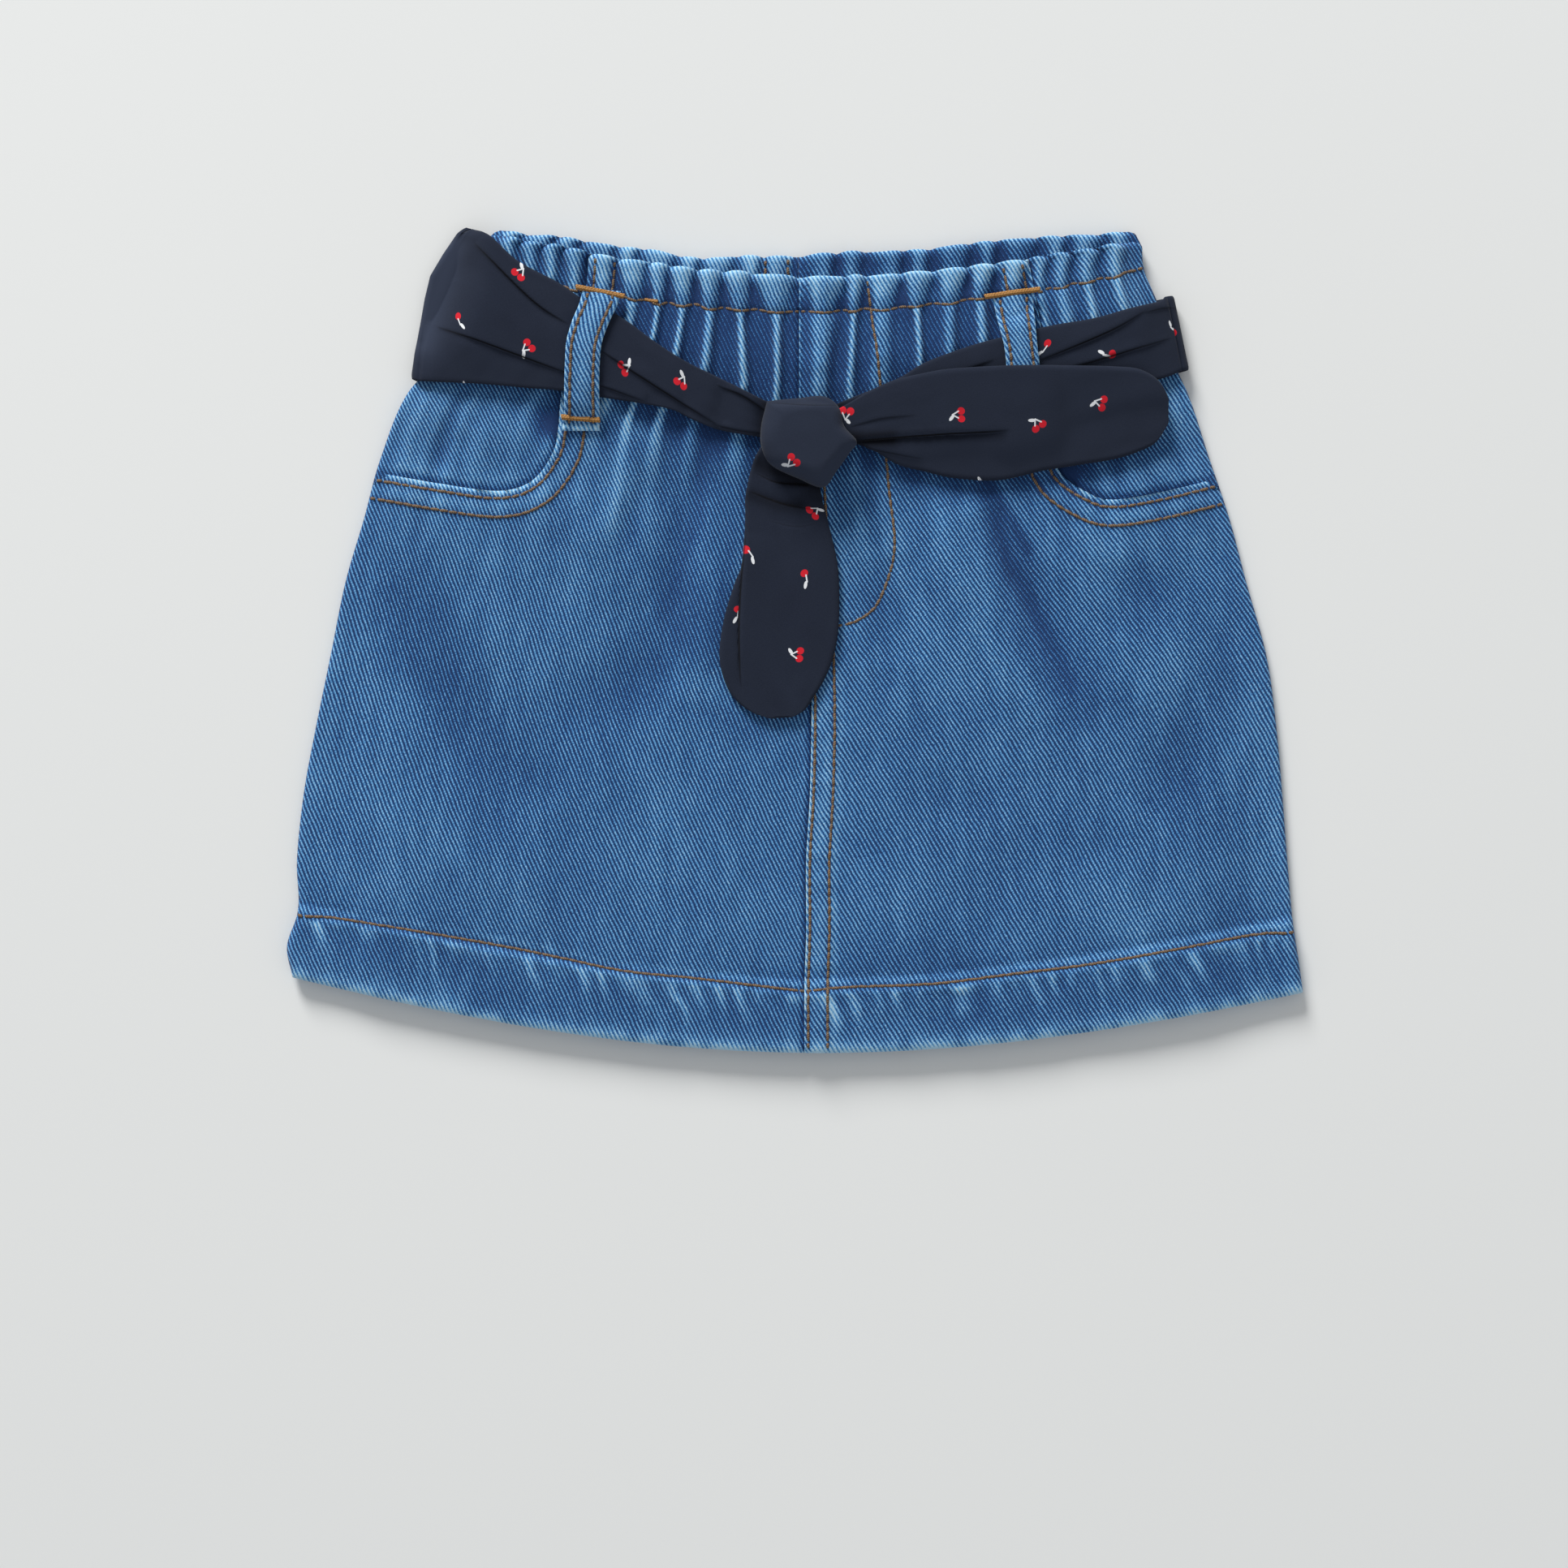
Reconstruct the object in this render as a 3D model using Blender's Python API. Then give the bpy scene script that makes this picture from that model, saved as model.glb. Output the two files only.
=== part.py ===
"""A toddler's denim mini skirt with a sash tie, laid flat on its back.

Runs in Blender 4.5: blender --background --python part.py

The skirt is a tube of denim laid flat: two back panels on the surface, two front panels over
them, and all four rolled towards each other at the side edges. The waist is an elastic casing
under a paper-bag heading, so the cloth above and below it stands in gathers. A cotton sash goes
round the waist through two belt loops and is knotted at the front.

All sizes are in millimetres in the tables, +X to the right of the picture, +Y up to the waist
and +Z up from the surface. The origin is at the middle of the outline, on that surface.
"""

import math
from collections import namedtuple

import bmesh
import bpy
import numpy as np

MM = 0.001

# Cloth walls, and the clearance between pieces
BODY_WALL = 1.2
HEADING_WALL = 1.4
HEM_WALL = 2.2
SASH_WALL = 1.0
TAIL_WALL = 1.6
LOOP_WALL = 1.4
GAP = 0.35

# Lengths down the centre front, from the heading's edge
TOP_EDGE_Y = 102.7
CASING_DOWN = 10.0
HEM_DOWN = 203.0
LENGTH = 219.5

# The back heading's edge stands higher than the front's, and the back hem ends a little short
BACK_HIGHER = 6.0
BACK_SHORTER = 1.2

# Gathers: half the height of a wave at the heading's edge, at the casing stitch and below it
FRONT_WAVES = (1.8, 0.9, 1.3)
BACK_WAVES = (0.9, 0.5, 0.6)
BACK_WAVE_COUNT = 20
BACK_SEAM_SHARE = 1.015
BACK_REACH = 38.0
# How far a gather's crest stands out beyond its valley at the heading's edge
SCALLOP = 1.1

# Heights of the broad forms
RISE_OVER_SASH = 1.4
RISE_ENDS = (47.0, 64.0)
CROWN = 1.7
MOST_LIFT = 3.3
POCKET_BAG = 1.0
YOKE_DROP = 0.8

Row = namedtuple("Row", "place down left_x left_y right_x right_y seam_x")
ROWS = (
    Row("heading edge", 0, -87.5, 115, 98.5, 113, 1),
    Row("casing stitch", 10, -88, 104, 99, 105.5, 1),
    Row("casing foot", 23, -94, 89.5, 103.5, 94, 1),
    Row("sash", 36.5, -103.5, 77.5, 107.5, 79, 1),
    Row("sash foot", 46, -110, 70, 111.5, 70, 1),
    Row("pocket foot", 66.5, -118, 51, 118, 51, 2),
    Row("hip", 84, -122.5, 34.5, 123.5, 34.5, 3),
    Row("below hip", 101.5, -127.5, 17.5, 128, 17.5, 4),
    Row("middle", 124.5, -132, -4.5, 134, -4.5, 4.5),
    Row("thigh", 147.5, -136.5, -26.5, 137, -26.5, 4),
    Row("below thigh", 165, -139.5, -43, 138.5, -44, 3),
    Row("above hem", 185, -141.5, -62.5, 140, -63.5, 3),
    Row("hem stitch", 202, -141.3, -77.5, 141.6, -81.5, 2.5),
    Row("hem middle", 211.5, -144.2, -87, 143, -91, 2.5),
    Row("hem edge", LENGTH, -142.6, -95.5, 144.2, -99.8, 2.5),
)

# Valleys of the front gathers: place along the casing stitch, height of the wave after it
# as a share of the full height, and how far down the cloth it runs
Gather = namedtuple("Gather", "x height reach")
LEFT_GATHERS = (
    Gather(-79, 0.8, 30),
    Gather(-73, 0.7, 30),
    Gather(-67, 0.9, 34),
    Gather(-59.5, 1.0, 40),
    Gather(-51, 1.0, 36),
    Gather(-42, 0.8, 44),
    Gather(-36, 0.9, 42),
    Gather(-28, 1.0, 46),
    Gather(-20, 1.1, 44),
    Gather(-10.5, 1.1, 40),
    Gather(1, 1.1, 40),
)
RIGHT_GATHERS = (
    Gather(96, 0.8, 30),
    Gather(87.5, 0.9, 32),
    Gather(79.5, 0.9, 36),
    Gather(72.5, 0.8, 34),
    Gather(66.5, 0.7, 38),
    Gather(56.5, 1.0, 42),
    Gather(48.5, 1.0, 46),
    Gather(38.5, 1.0, 44),
    Gather(29.5, 1.0, 46),
    Gather(18.5, 0.8, 40),
    Gather(12.5, 1.0, 42),
    Gather(1, 1.1, 40),
)

# Broad folds of the front, each on a bent line: a height over 0 is a ridge, under 0 a trough
Fold = namedtuple("Fold", "place x0 y0 x1 y1 x2 y2 width height")
FOLDS = (
    Fold("left trough", -117, 20, -100, -14, -71, -51, 13, -1.4),
    Fold("left middle trough", -25, 46, -39, -7, -69, -25, 11, -1.3),
    Fold("left waist ridge", -48, 66, -53, 43, -64, 25, 12, 1.0),
    Fold("ridge left of tail", -21, 46, -24, 7, -30, -21, 8, 1.2),
    Fold("right crease", 54, 39, 62, 23, 82, -18, 9, -1.6),
    Fold("right crease's ridge", 44, 42, 51, 16, 70, -28, 10, 1.2),
    Fold("right hip trough", 99, 23, 97, 11, 92, 0, 10, -0.9),
    Fold("right thigh trough", 124, -7, 110, -35, 99, -51, 11, -1.2),
    Fold("fly trough", 25, 25, 27, 9, 28, -7, 9, -1.0),
    Fold("right hip ridge", 84, 35, 86, 20, 104, -20, 13, 1.0),
    Fold("left thigh ridge", -112, -40, -95, -58, -60, -78, 16, 0.8),
    Fold("hem middle ridge", 20, -60, 28, -84, 30, -108, 14, 0.7),
    Fold("hem right ridge", 84, -60, 92, -78, 96, -100, 14, 0.8),
)

# The curved edge of each front pocket's opening, from the heading round to the side edge
Point = namedtuple("Point", "x y")
LEFT_POCKET = (
    Point(-58.3, 108.3),
    Point(-59.2, 98.7),
    Point(-63.1, 82.6),
    Point(-66.1, 69.9),
    Point(-67, 59.6),
    Point(-68.7, 52.7),
    Point(-74.6, 45.1),
    Point(-84.1, 42.3),
    Point(-100.6, 44.4),
    Point(-117.4, 47.4),
)
RIGHT_POCKET = (
    Point(65.9, 107.4),
    Point(68, 96.4),
    Point(70.5, 82),
    Point(72.3, 68),
    Point(73.2, 57),
    Point(74.9, 47.8),
    Point(82.9, 41.8),
    Point(90.7, 39.8),
    Point(105.7, 42.4),
    Point(120.9, 46.3),
)

# A strip of cloth seen from above: its upper and lower edge at each station along it
Station = namedtuple("Station", "top_x top_y foot_x foot_y")
SASH_LEFT = (
    Station(-93.7, 117.2, -108.9, 74.3),
    Station(-86.1, 114, -97, 72.7),
    Station(-78.1, 106.7, -87.3, 72.2),
    Station(-66.6, 100.5, -75.8, 71.1),
    Station(-59.7, 95.9, -65.4, 70.2),
    Station(-49.3, 91, -53.7, 68.3),
    Station(-39, 83.6, -43.1, 66.7),
    Station(-30.7, 78.4, -34.4, 64.9),
    Station(-20.8, 73.6, -28.6, 62.1),
    Station(-13, 69.7, -20.8, 59.3),
    Station(-8.2, 67.4, -11.4, 57.7),
    Station(-3.3, 65, -4, 56.4),
)
SASH_RIGHT = (
    Station(107.5, 97.8, 111.9, 76.8),
    Station(102.5, 95.5, 105, 74.3),
    Station(93, 92.9, 96.7, 72),
    Station(83.8, 90.4, 85.2, 68.8),
    Station(71.4, 88.3, 71.4, 65.3),
    Station(56.7, 84.8, 57.6, 61.9),
    Station(47.7, 82.2, 48.4, 59.6),
    Station(36.9, 78.2, 38.1, 57.7),
    Station(30.2, 74.3, 30, 57),
    Station(23.1, 71.2, 23.1, 56.6),
    Station(14.8, 67.9, 15.1, 57),
    Station(10.5, 66, 10.5, 57),
)
SASH_BACK = (
    Station(-60, 101, -66, 67),
    Station(-30, 93.5, -32, 65),
    Station(0, 92, 0, 64.5),
    Station(30, 92.5, 31, 65),
    Station(60, 93, 62, 67),
)
TAIL_RIGHT = (
    Station(11.6, 64.6, 12.5, 57),
    Station(15.3, 66.7, 16.2, 55.7),
    Station(20.8, 69.9, 22, 53.6),
    Station(27.7, 72.9, 28.9, 49.7),
    Station(35.8, 74.8, 36.9, 47.6),
    Station(43.8, 76.1, 45, 45.8),
    Station(57.8, 76.8, 57.8, 45.2),
    Station(70, 77, 70, 47.8),
    Station(79.5, 77, 80.6, 49.5),
    Station(89.8, 76.8, 91, 51.3),
    Station(96.9, 76.1, 97.9, 53.6),
    Station(102.5, 72.9, 102.2, 56.1),
    Station(105.5, 67.4, 105.5, 61.2),
)
TAIL_DOWN = (
    Station(-9.1, 55.4, 5.9, 48.1),
    Station(-11.8, 50.3, 7.2, 42.6),
    Station(-13.9, 41.4, 7.9, 38.9),
    Station(-14.1, 33.8, 9.8, 31.7),
    Station(-14.8, 22.3, 11.8, 22.8),
    Station(-17.1, 15.9, 12.5, 15.4),
    Station(-19.9, 6.7, 12.3, 3.2),
    Station(-21.3, -2.5, 10.7, -5.3),
    Station(-20.6, -9.4, 8.2, -11.3),
    Station(-17.6, -15.9, 5.4, -15.9),
    Station(-12.5, -20.2, 2.9, -19.6),
    Station(-6.8, -22.1, -1, -21.8),
)
LOOP_LEFT = (
    Station(-60.6, 98.9, -48.2, 98.2),
    Station(-61.1, 94.1, -50, 94.1),
    Station(-62.7, 89.5, -52.1, 89.5),
    Station(-64.3, 83.7, -54.2, 83.7),
    Station(-64.7, 78, -54.9, 78),
    Station(-65, 71.1, -55.1, 71.1),
    Station(-65.2, 63.9, -55.1, 63.9),
    Station(-65.9, 59.1, -55.3, 59.1),
)
LOOP_RIGHT = (
    Station(53.9, 96.4, 68, 98),
    Station(55.8, 92.9, 67, 94.1),
    Station(57.4, 88.3, 67.7, 88.3),
    Station(58.8, 82.6, 68.2, 82.6),
    Station(59.5, 76.8, 68.9, 76.8),
    Station(59.9, 68.8, 69.3, 68.8),
    Station(60.4, 59.5, 69.8, 59.5),
)

# How far the sash's left fold stands out from the straight line between its ends
Bulge = namedtuple("Bulge", "share out")
SASH_LEFT_BULGE = (
    Bulge(0, 0),
    Bulge(0.05, 1.6),
    Bulge(0.2, 3.4),
    Bulge(0.355, 4.8),
    Bulge(0.5, 4.1),
    Bulge(0.655, 2.9),
    Bulge(0.84, 1.6),
    Bulge(1, 0),
)
STRAIGHT = (Bulge(0, 0), Bulge(1, 0))
BULGE_STATIONS = 2.0

# Long soft ridges of a strip: share of the width where each starts and ends, width and height
Ridge = namedtuple("Ridge", "start end width height")
SASH_LEFT_RIDGES = (Ridge(0.12, 0.25, 0.12, 1.3), Ridge(0.45, 0.62, 0.16, 1.5), Ridge(0.8, 0.9, 0.1, 1.0))
SASH_RIGHT_RIDGES = (Ridge(0.15, 0.2, 0.14, 1.2), Ridge(0.6, 0.5, 0.16, 1.4))
TAIL_RIGHT_RIDGES = (Ridge(0.2, 0.25, 0.2, 1.3), Ridge(0.75, 0.7, 0.18, 0.9))
TAIL_DOWN_RIDGES = (Ridge(0.3, 0.3, 0.2, 1.6), Ridge(0.75, 0.8, 0.16, 1.1))

# The knot: its outline seen from above, and its height over what it is tied round
KNOT_OUTLINE = (
    Point(-7.9, 67.2),
    Point(-9.5, 60.5),
    Point(-9.5, 54.3),
    Point(-6.8, 49.2),
    Point(0.8, 45.5),
    Point(7.9, 43),
    Point(11.6, 47.4),
    Point(15.5, 52.7),
    Point(17.4, 55.7),
    Point(13.9, 60),
    Point(12.3, 65.3),
    Point(7.9, 68.5),
    Point(0.1, 68.1),
)
KNOT_HEIGHT = 6.8
KNOT_RIM = 2.0
# The knot's front turn ends at this level, and the turn behind it is lower by this share
KNOT_TURN_Y = 66.0
KNOT_BEHIND = 0.35
KNOT_SEGMENTS = 28

# Least height of the sash's folds at the sides, and how far it reaches in under the skirt there
LEAST_FOLD_HEIGHT = 3.0
UNDER_REACH = 12.0

# Rows of faces: close together in the gathers, wider below them, with half as many columns
FRONT_FINE = (0, 5, 10, 14, 20, 28, 37, 46, 56)
FRONT_COARSE = (66, 80, 94, 108, 122, 136, 150, 164, 178, 192, 202, 204, 211, LENGTH)
BACK_FINE = (0, 5, 10, 20, 38, 56)
BACK_COARSE = (66, 94, 122, 150, 178, 202, 204, LENGTH)
YOKE_DOWN = (0, 5, 10, 18, 30, 43, 56, 66, 76)

# Where the side edge's rounding starts, as a share of its radius, and the flat beside a centre seam
EDGE_SHARE = 0.08
SEAM_FLAT = 1.4

DENIM = (0.048, 0.136, 0.292, 1)
NAVY = (0.022, 0.029, 0.05, 1)


# Smooth curves

def smooth(stations, values, at):
    """Values on a cubic through the stations, with slopes taken from the neighbours."""
    stations = np.asarray(stations, float)
    values = np.asarray(values, float)
    step = np.diff(stations)
    rise = np.diff(values) / step
    slope = np.concatenate([rise[:1], rise, rise[-1:]])
    before, after = slope[:-1], slope[1:]
    slope = (before + after) / 2
    span = np.clip(np.searchsorted(stations, at, side="right") - 1, 0, len(step) - 1)
    width = step[span]
    t = (at - stations[span]) / width
    start = (2 * t**3 - 3 * t**2 + 1) * values[span] + (t**3 - 2 * t**2 + t) * width * slope[span]
    end = (3 * t**2 - 2 * t**3) * values[span + 1] + (t**3 - t**2) * width * slope[span + 1]
    return start + end


def ease(value, start, end):
    """0 before start, 1 after end, and a soft step between."""
    t = np.clip((np.asarray(value, float) - start) / (end - start), 0, 1)
    return t * t * (3 - 2 * t)


def row_value(name, down):
    return smooth([row.down for row in ROWS], [getattr(row, name) for row in ROWS], down)


# The denim tube

def wall_at(down):
    heading = HEADING_WALL + (BODY_WALL - HEADING_WALL) * ease(down, 24, 32)
    return heading + (HEM_WALL - BODY_WALL) * ease(down, HEM_DOWN - 1, HEM_DOWN + 1)


def row_bend(across):
    """How far a row has come up from its middle: 0 at the middle, 1 at the side edges."""
    return (np.sqrt(1 + (2 * across - 1) ** 2) - 1) / (math.sqrt(2) - 1)


def row_y(across, down, is_front):
    left_y, right_y = row_value("left_y", down), row_value("right_y", down)
    bow = (left_y + right_y) / 2 - (TOP_EDGE_Y - down)
    if not is_front:
        share_down = ease(down, 0, LENGTH)
        bow = bow - (BACK_HIGHER * (1 - share_down) + BACK_SHORTER * share_down)
    return left_y + (right_y - left_y) * across - bow * (1 - row_bend(across))


def wave_size(sizes, down, reach):
    """Half the height of a gather at this distance down."""
    edge, nip, below = sizes
    heading = edge + (nip - edge) * np.clip(down / CASING_DOWN, 0, 1) ** 1.3
    body = nip + (below - nip) * ease(down, CASING_DOWN, CASING_DOWN + 8)
    fade = 1 - ease(down, CASING_DOWN + 0.3 * reach, CASING_DOWN + reach)
    return np.where(down < CASING_DOWN, heading, body * fade)


def gather_shares(side):
    """The share of each front gather's valley, from 0 at the side edge to 1 at the centre seam."""
    gathers = LEFT_GATHERS if side < 0 else RIGHT_GATHERS
    edge = row_value("left_x" if side < 0 else "right_x", CASING_DOWN)
    seam = row_value("seam_x", CASING_DOWN)
    flat = SEAM_FLAT / abs(seam - edge)
    return np.array([0] + [(1 - flat) * (gather.x - edge) / (seam - edge) for gather in gathers])


def front_phase(side, share):
    """A front's gathers counted from the side edge in: whole numbers are valleys."""
    shares = gather_shares(side)
    return np.interp(share, shares, np.arange(len(shares)))


def front_wave(side, down, share):
    """Height of the front gathers over their valleys."""
    gathers = LEFT_GATHERS if side < 0 else RIGHT_GATHERS
    phase = front_phase(side, share)
    nearest = np.clip(phase.astype(int), 0, len(gathers) - 1)
    height = np.array([gather.height for gather in gathers])[nearest]
    reach = np.interp(phase, np.arange(1, len(gathers) + 1), [gather.reach for gather in gathers])
    return wave_size(FRONT_WAVES, down, reach) * height * (1 - np.cos(2 * math.pi * phase))


def back_phase(share):
    """Gathers of the back from the side edge to the flat beside the centre seam, a little uneven."""
    share = np.clip(share * BACK_SEAM_SHARE, 0, 1)
    return BACK_WAVE_COUNT / 2 * (share + 0.012 * np.sin(9 * math.pi * share))


def side_ease(share):
    return ease(share, 0, 0.07)


def back_height(down, share):
    """Middle of the back panels' wall."""
    wave = wave_size(BACK_WAVES, down, BACK_REACH) * side_ease(share)
    rise = RISE_OVER_SASH * (1 - ease(down, *RISE_ENDS))
    return rise + wall_at(down) / 2 + wave * (1 - np.cos(2 * math.pi * back_phase(share)))


def back_level(down, share):
    """The level that clears the back's gathers and hem, which lie up to 6 mm out of step with the front's."""
    rise = RISE_OVER_SASH * (1 - ease(down, *RISE_ENDS))
    wall = HEADING_WALL + (BODY_WALL - HEADING_WALL) * ease(down, 28, 40)
    wall = wall + (HEM_WALL - BODY_WALL) * ease(down, HEM_DOWN - 5, HEM_DOWN - 2)
    wave = BACK_WAVES[0] * (1 - ease(down, CASING_DOWN + 0.3 * BACK_REACH, CASING_DOWN + BACK_REACH))
    return rise + wall + 2 * wave * side_ease(share)


def line_distance(x, y, fold):
    """Distance to a fold's bent line, and 1 along it with a soft fall to 0 at its ends."""
    nearest = np.full(np.shape(x), 1e9)
    along = np.zeros(np.shape(x))
    corners = ((fold.x0, fold.y0), (fold.x1, fold.y1), (fold.x2, fold.y2))
    for number, (start, end) in enumerate(zip(corners, corners[1:])):
        run_x, run_y = end[0] - start[0], end[1] - start[1]
        t = ((x - start[0]) * run_x + (y - start[1]) * run_y) / (run_x**2 + run_y**2)
        t = np.clip(t, 0, 1)
        distance = np.hypot(x - start[0] - t * run_x, y - start[1] - t * run_y)
        closer = distance < nearest
        nearest = np.where(closer, distance, nearest)
        along = np.where(closer, (number + t) / 2, along)
    return nearest, np.sin(math.pi * np.clip(along, 0.02, 0.98)) ** 0.6


def front_lift(x, y, down, share):
    """How far the front stands clear of the back: its crown, its pocket bags and its folds."""
    crown = CROWN * ease(down, 30, 90) * (1 - 0.35 * ease(down, 180, LENGTH))
    folds = 0
    for fold in FOLDS:
        distance, taper = line_distance(x, y, fold)
        folds = folds + fold.height * taper * np.exp(-((distance / fold.width) ** 2))
    bag = POCKET_BAG * (1 - ease(share, 0.45, 0.8)) * (1 - ease(down, 72, 100))
    lift = (crown + folds * ease(down, 40, 60)) * ease(share, 0, 0.22) + bag * ease(share, 0, 0.05)
    return np.clip(lift, 0, MOST_LIFT)


def panel_grid(is_front, side, downs, shares, drop=0.0):
    """Middle of a panel's wall, and the wall there: a row for each distance down, from the side edge in.

    The first point of a row is in the rounded side edge, where front and back close up.
    """
    down = np.asarray(downs, float)[:, None]
    share = np.asarray(shares, float)[None, :]
    left_x, right_x = row_value("left_x", down), row_value("right_x", down)
    edge_x = left_x if side < 0 else right_x
    edge_y = row_value("left_y" if side < 0 else "right_y", down)
    wall = wall_at(down) + 0 * share
    edge_share = np.zeros_like(down)
    low = back_height(down, edge_share) - wall_at(down) / 2
    high = back_level(down, edge_share) + GAP + wall_at(down)
    radius, middle = (high - low) / 2, (high + low) / 2
    inner_x = edge_x - side * radius
    seam_x = row_value("seam_x", down) + side * GAP / 2
    x = inner_x + (seam_x - inner_x) * share
    y = row_y((x - left_x) / (right_x - left_x), down, is_front)
    if is_front:
        z = back_level(down, share) + GAP + wall / 2 + front_lift(x, y, down, share)
        z = z + front_wave(side, down, share) * side_ease(share) - drop * side_ease(share)
        phase = front_phase(side, share)
    else:
        z = back_height(down, share) + 0 * x
        phase = back_phase(share)
    scallop = SCALLOP * (0.4 - 0.5 * (1 + np.cos(2 * math.pi * phase)))
    y = y + scallop * (1 - ease(down, 0, CASING_DOWN)) * side_ease(share)
    outer = radius * math.sqrt(1 - (1 - EDGE_SHARE) ** 2)
    upward = 1 if is_front else -1
    edge = [edge_x - side * EDGE_SHARE * radius, edge_y, middle + upward * (outer + GAP / 2) / 2]
    points = np.concatenate([np.stack(edge, axis=2), np.stack([x, y, z], axis=2)], axis=1)
    return points, np.concatenate([outer - GAP / 2, wall], axis=1)


def quarter_steps(valleys):
    """Each valley, three points between it and the next, and the centre seam."""
    counts = np.arange(len(valleys))
    steps = np.interp(np.linspace(0, counts[-1], counts[-1] * 4 + 1), counts, valleys)
    return np.append(steps, 1)


def back_valleys():
    """Shares of the back's valleys, the last just short of the seam."""
    share = np.linspace(0, 1 / BACK_SEAM_SHARE, 400)
    return np.interp(np.arange(BACK_WAVE_COUNT // 2 + 1), back_phase(share), share)


# Cloth that lies on other cloth

def densify(grid, times):
    """The grid with more points between its own, on its flat faces."""
    for axis in (0, 1):
        count = grid.shape[axis]
        at = np.linspace(0, count - 1, (count - 1) * times + 1)
        low = np.minimum(at.astype(int), count - 2)
        share = (at - low).reshape([-1, 1, 1] if axis == 0 else [1, -1, 1])
        grid = np.take(grid, low, axis) * (1 - share) + np.take(grid, low + 1, axis) * share
    return grid


def top_points(grid, wall, times=3):
    """Points of the upper side of a piece whose middle is the grid."""
    points = densify(grid, times).reshape(-1, 3)
    return points + [0, 0, wall / 2]


def lie_on(x, y, support, radius):
    """The height of soft cloth that bridges the points under it in curves of this radius."""
    height = np.empty(x.size)
    for start in range(0, x.size, 200):
        part = slice(start, start + 200)
        away_x = x.ravel()[part, None] - support[None, :, 0]
        away_y = y.ravel()[part, None] - support[None, :, 1]
        height[part] = (support[None, :, 2] - (away_x**2 + away_y**2) / (2 * radius)).max(axis=1)
    return height.reshape(x.shape)


def strip_edges(stations, along):
    """The four columns of the stations at each distance along, counted in stations."""
    counts = np.arange(len(stations))
    return [smooth(counts, [getattr(s, name) for s in stations], along) for name in Station._fields]


def ridge_height(ridges, along, across, last):
    height = 0
    for ridge in ridges:
        centre = ridge.start + (ridge.end - ridge.start) * along / last
        height = height + ridge.height * np.exp(-(((across - centre) / ridge.width) ** 2))
    return height


def strip_grid(stations, spans, support, wall, ridges=(), radius=12.0, lowest=0.0, moved=(0, 0)):
    """Middle of a strip that lies on the support, with its ridges standing up from there."""
    last = len(stations) - 1
    along = np.linspace(0, last, spans[0] + 1)[:, None]
    across = np.linspace(0, 1, spans[1] + 1)[None, :]
    top_x, top_y, foot_x, foot_y = strip_edges(stations, along)
    x = top_x + (foot_x - top_x) * across + moved[0]
    y = top_y + (foot_y - top_y) * across + moved[1]
    z = lie_on(x, y, support, radius) + GAP + wall / 2
    z = np.maximum(z + ridge_height(ridges, along, across, last), lowest)
    return np.stack([x, y, z], axis=2)


def inward(side, fold):
    """The way in from a side fold, square to it."""
    run_x, run_y = fold.foot_x - fold.top_x, fold.foot_y - fold.top_y
    length = math.hypot(run_x, run_y)
    return -side * abs(run_y) / length, -abs(run_x) / length


def moved_in(side, fold, reach):
    way_x, way_y = inward(side, fold)
    step_x, step_y = way_x * reach, way_y * reach
    return Station(fold.top_x + step_x, fold.top_y + step_y, fold.foot_x + step_x, fold.foot_y + step_y)


def wrapped_grid(side, stations, bulge, spans, support, ridges):
    """A sash stretch: from under the skirt, round its side edge and over its front."""
    fold = stations[0]
    way_x, way_y = inward(side, fold)
    across = np.linspace(0, 1, spans[1] + 1)
    out = np.interp(across, [place.share for place in bulge], [place.out for place in bulge])
    fold_x = fold.top_x + (fold.foot_x - fold.top_x) * across - way_x * out
    fold_y = fold.top_y + (fold.foot_y - fold.top_y) * across - way_y * out
    inset = SASH_WALL
    for _ in range(3):
        over = lie_on(fold_x + way_x * inset, fold_y + way_y * inset, support, 12.0)
        height = np.maximum(over + GAP + SASH_WALL / 2, LEAST_FOLD_HEIGHT)
        radius = (height - SASH_WALL / 2) / 2
        inset = SASH_WALL / 2 + radius
    rows = []
    for part in (1, 0.6):
        reach = part * (UNDER_REACH + out)
        under = np.full_like(across, SASH_WALL / 2)
        rows.append(np.stack([fold_x + way_x * reach, fold_y + way_y * reach, under], axis=1))
    for degrees in (-90, -45, 0, 45, 90):
        angle = math.radians(degrees)
        turn = inset - radius * math.cos(angle)
        turn_z = SASH_WALL / 2 + radius * (1 + math.sin(angle))
        rows.append(np.stack([fold_x + way_x * turn, fold_y + way_y * turn, turn_z], axis=1))
    first = rows[-1]
    start = Station(first[0, 0], first[0, 1], first[-1, 0], first[-1, 1])
    lowest = height[None, :] * np.array([1] + [0] * spans[0])[:, None]
    fade = 1 - ease(np.linspace(0, len(stations) - 1, spans[0] + 1)[:, None], 0, BULGE_STATIONS)
    moved = (-way_x * out * fade, -way_y * out * fade)
    over = strip_grid(
        (start,) + stations[1:], spans, support, SASH_WALL, ridges, lowest=LEAST_FOLD_HEIGHT, moved=moved
    )
    over[:, :, 2] = np.maximum(over[:, :, 2], lowest)
    return np.concatenate([np.stack(rows), over[1:]])


# Meshes

def cloth_material(name, colour, roughness):
    material = bpy.data.materials.new(name)
    material.use_nodes = True
    shader = material.node_tree.nodes["Principled BSDF"]
    shader.inputs["Base Color"].default_value = colour
    shader.inputs["Roughness"].default_value = roughness
    shader.inputs["Metallic"].default_value = 0
    return material


def add_object(name, mesh, material):
    data = bpy.data.meshes.new(name)
    mesh.to_mesh(data)
    mesh.free()
    data.materials.append(material)
    obj = bpy.data.objects.new(name, data)
    bpy.context.scene.collection.objects.link(obj)
    data.shade_smooth()
    data.set_sharp_from_angle(angle=math.radians(50))
    return obj


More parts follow.
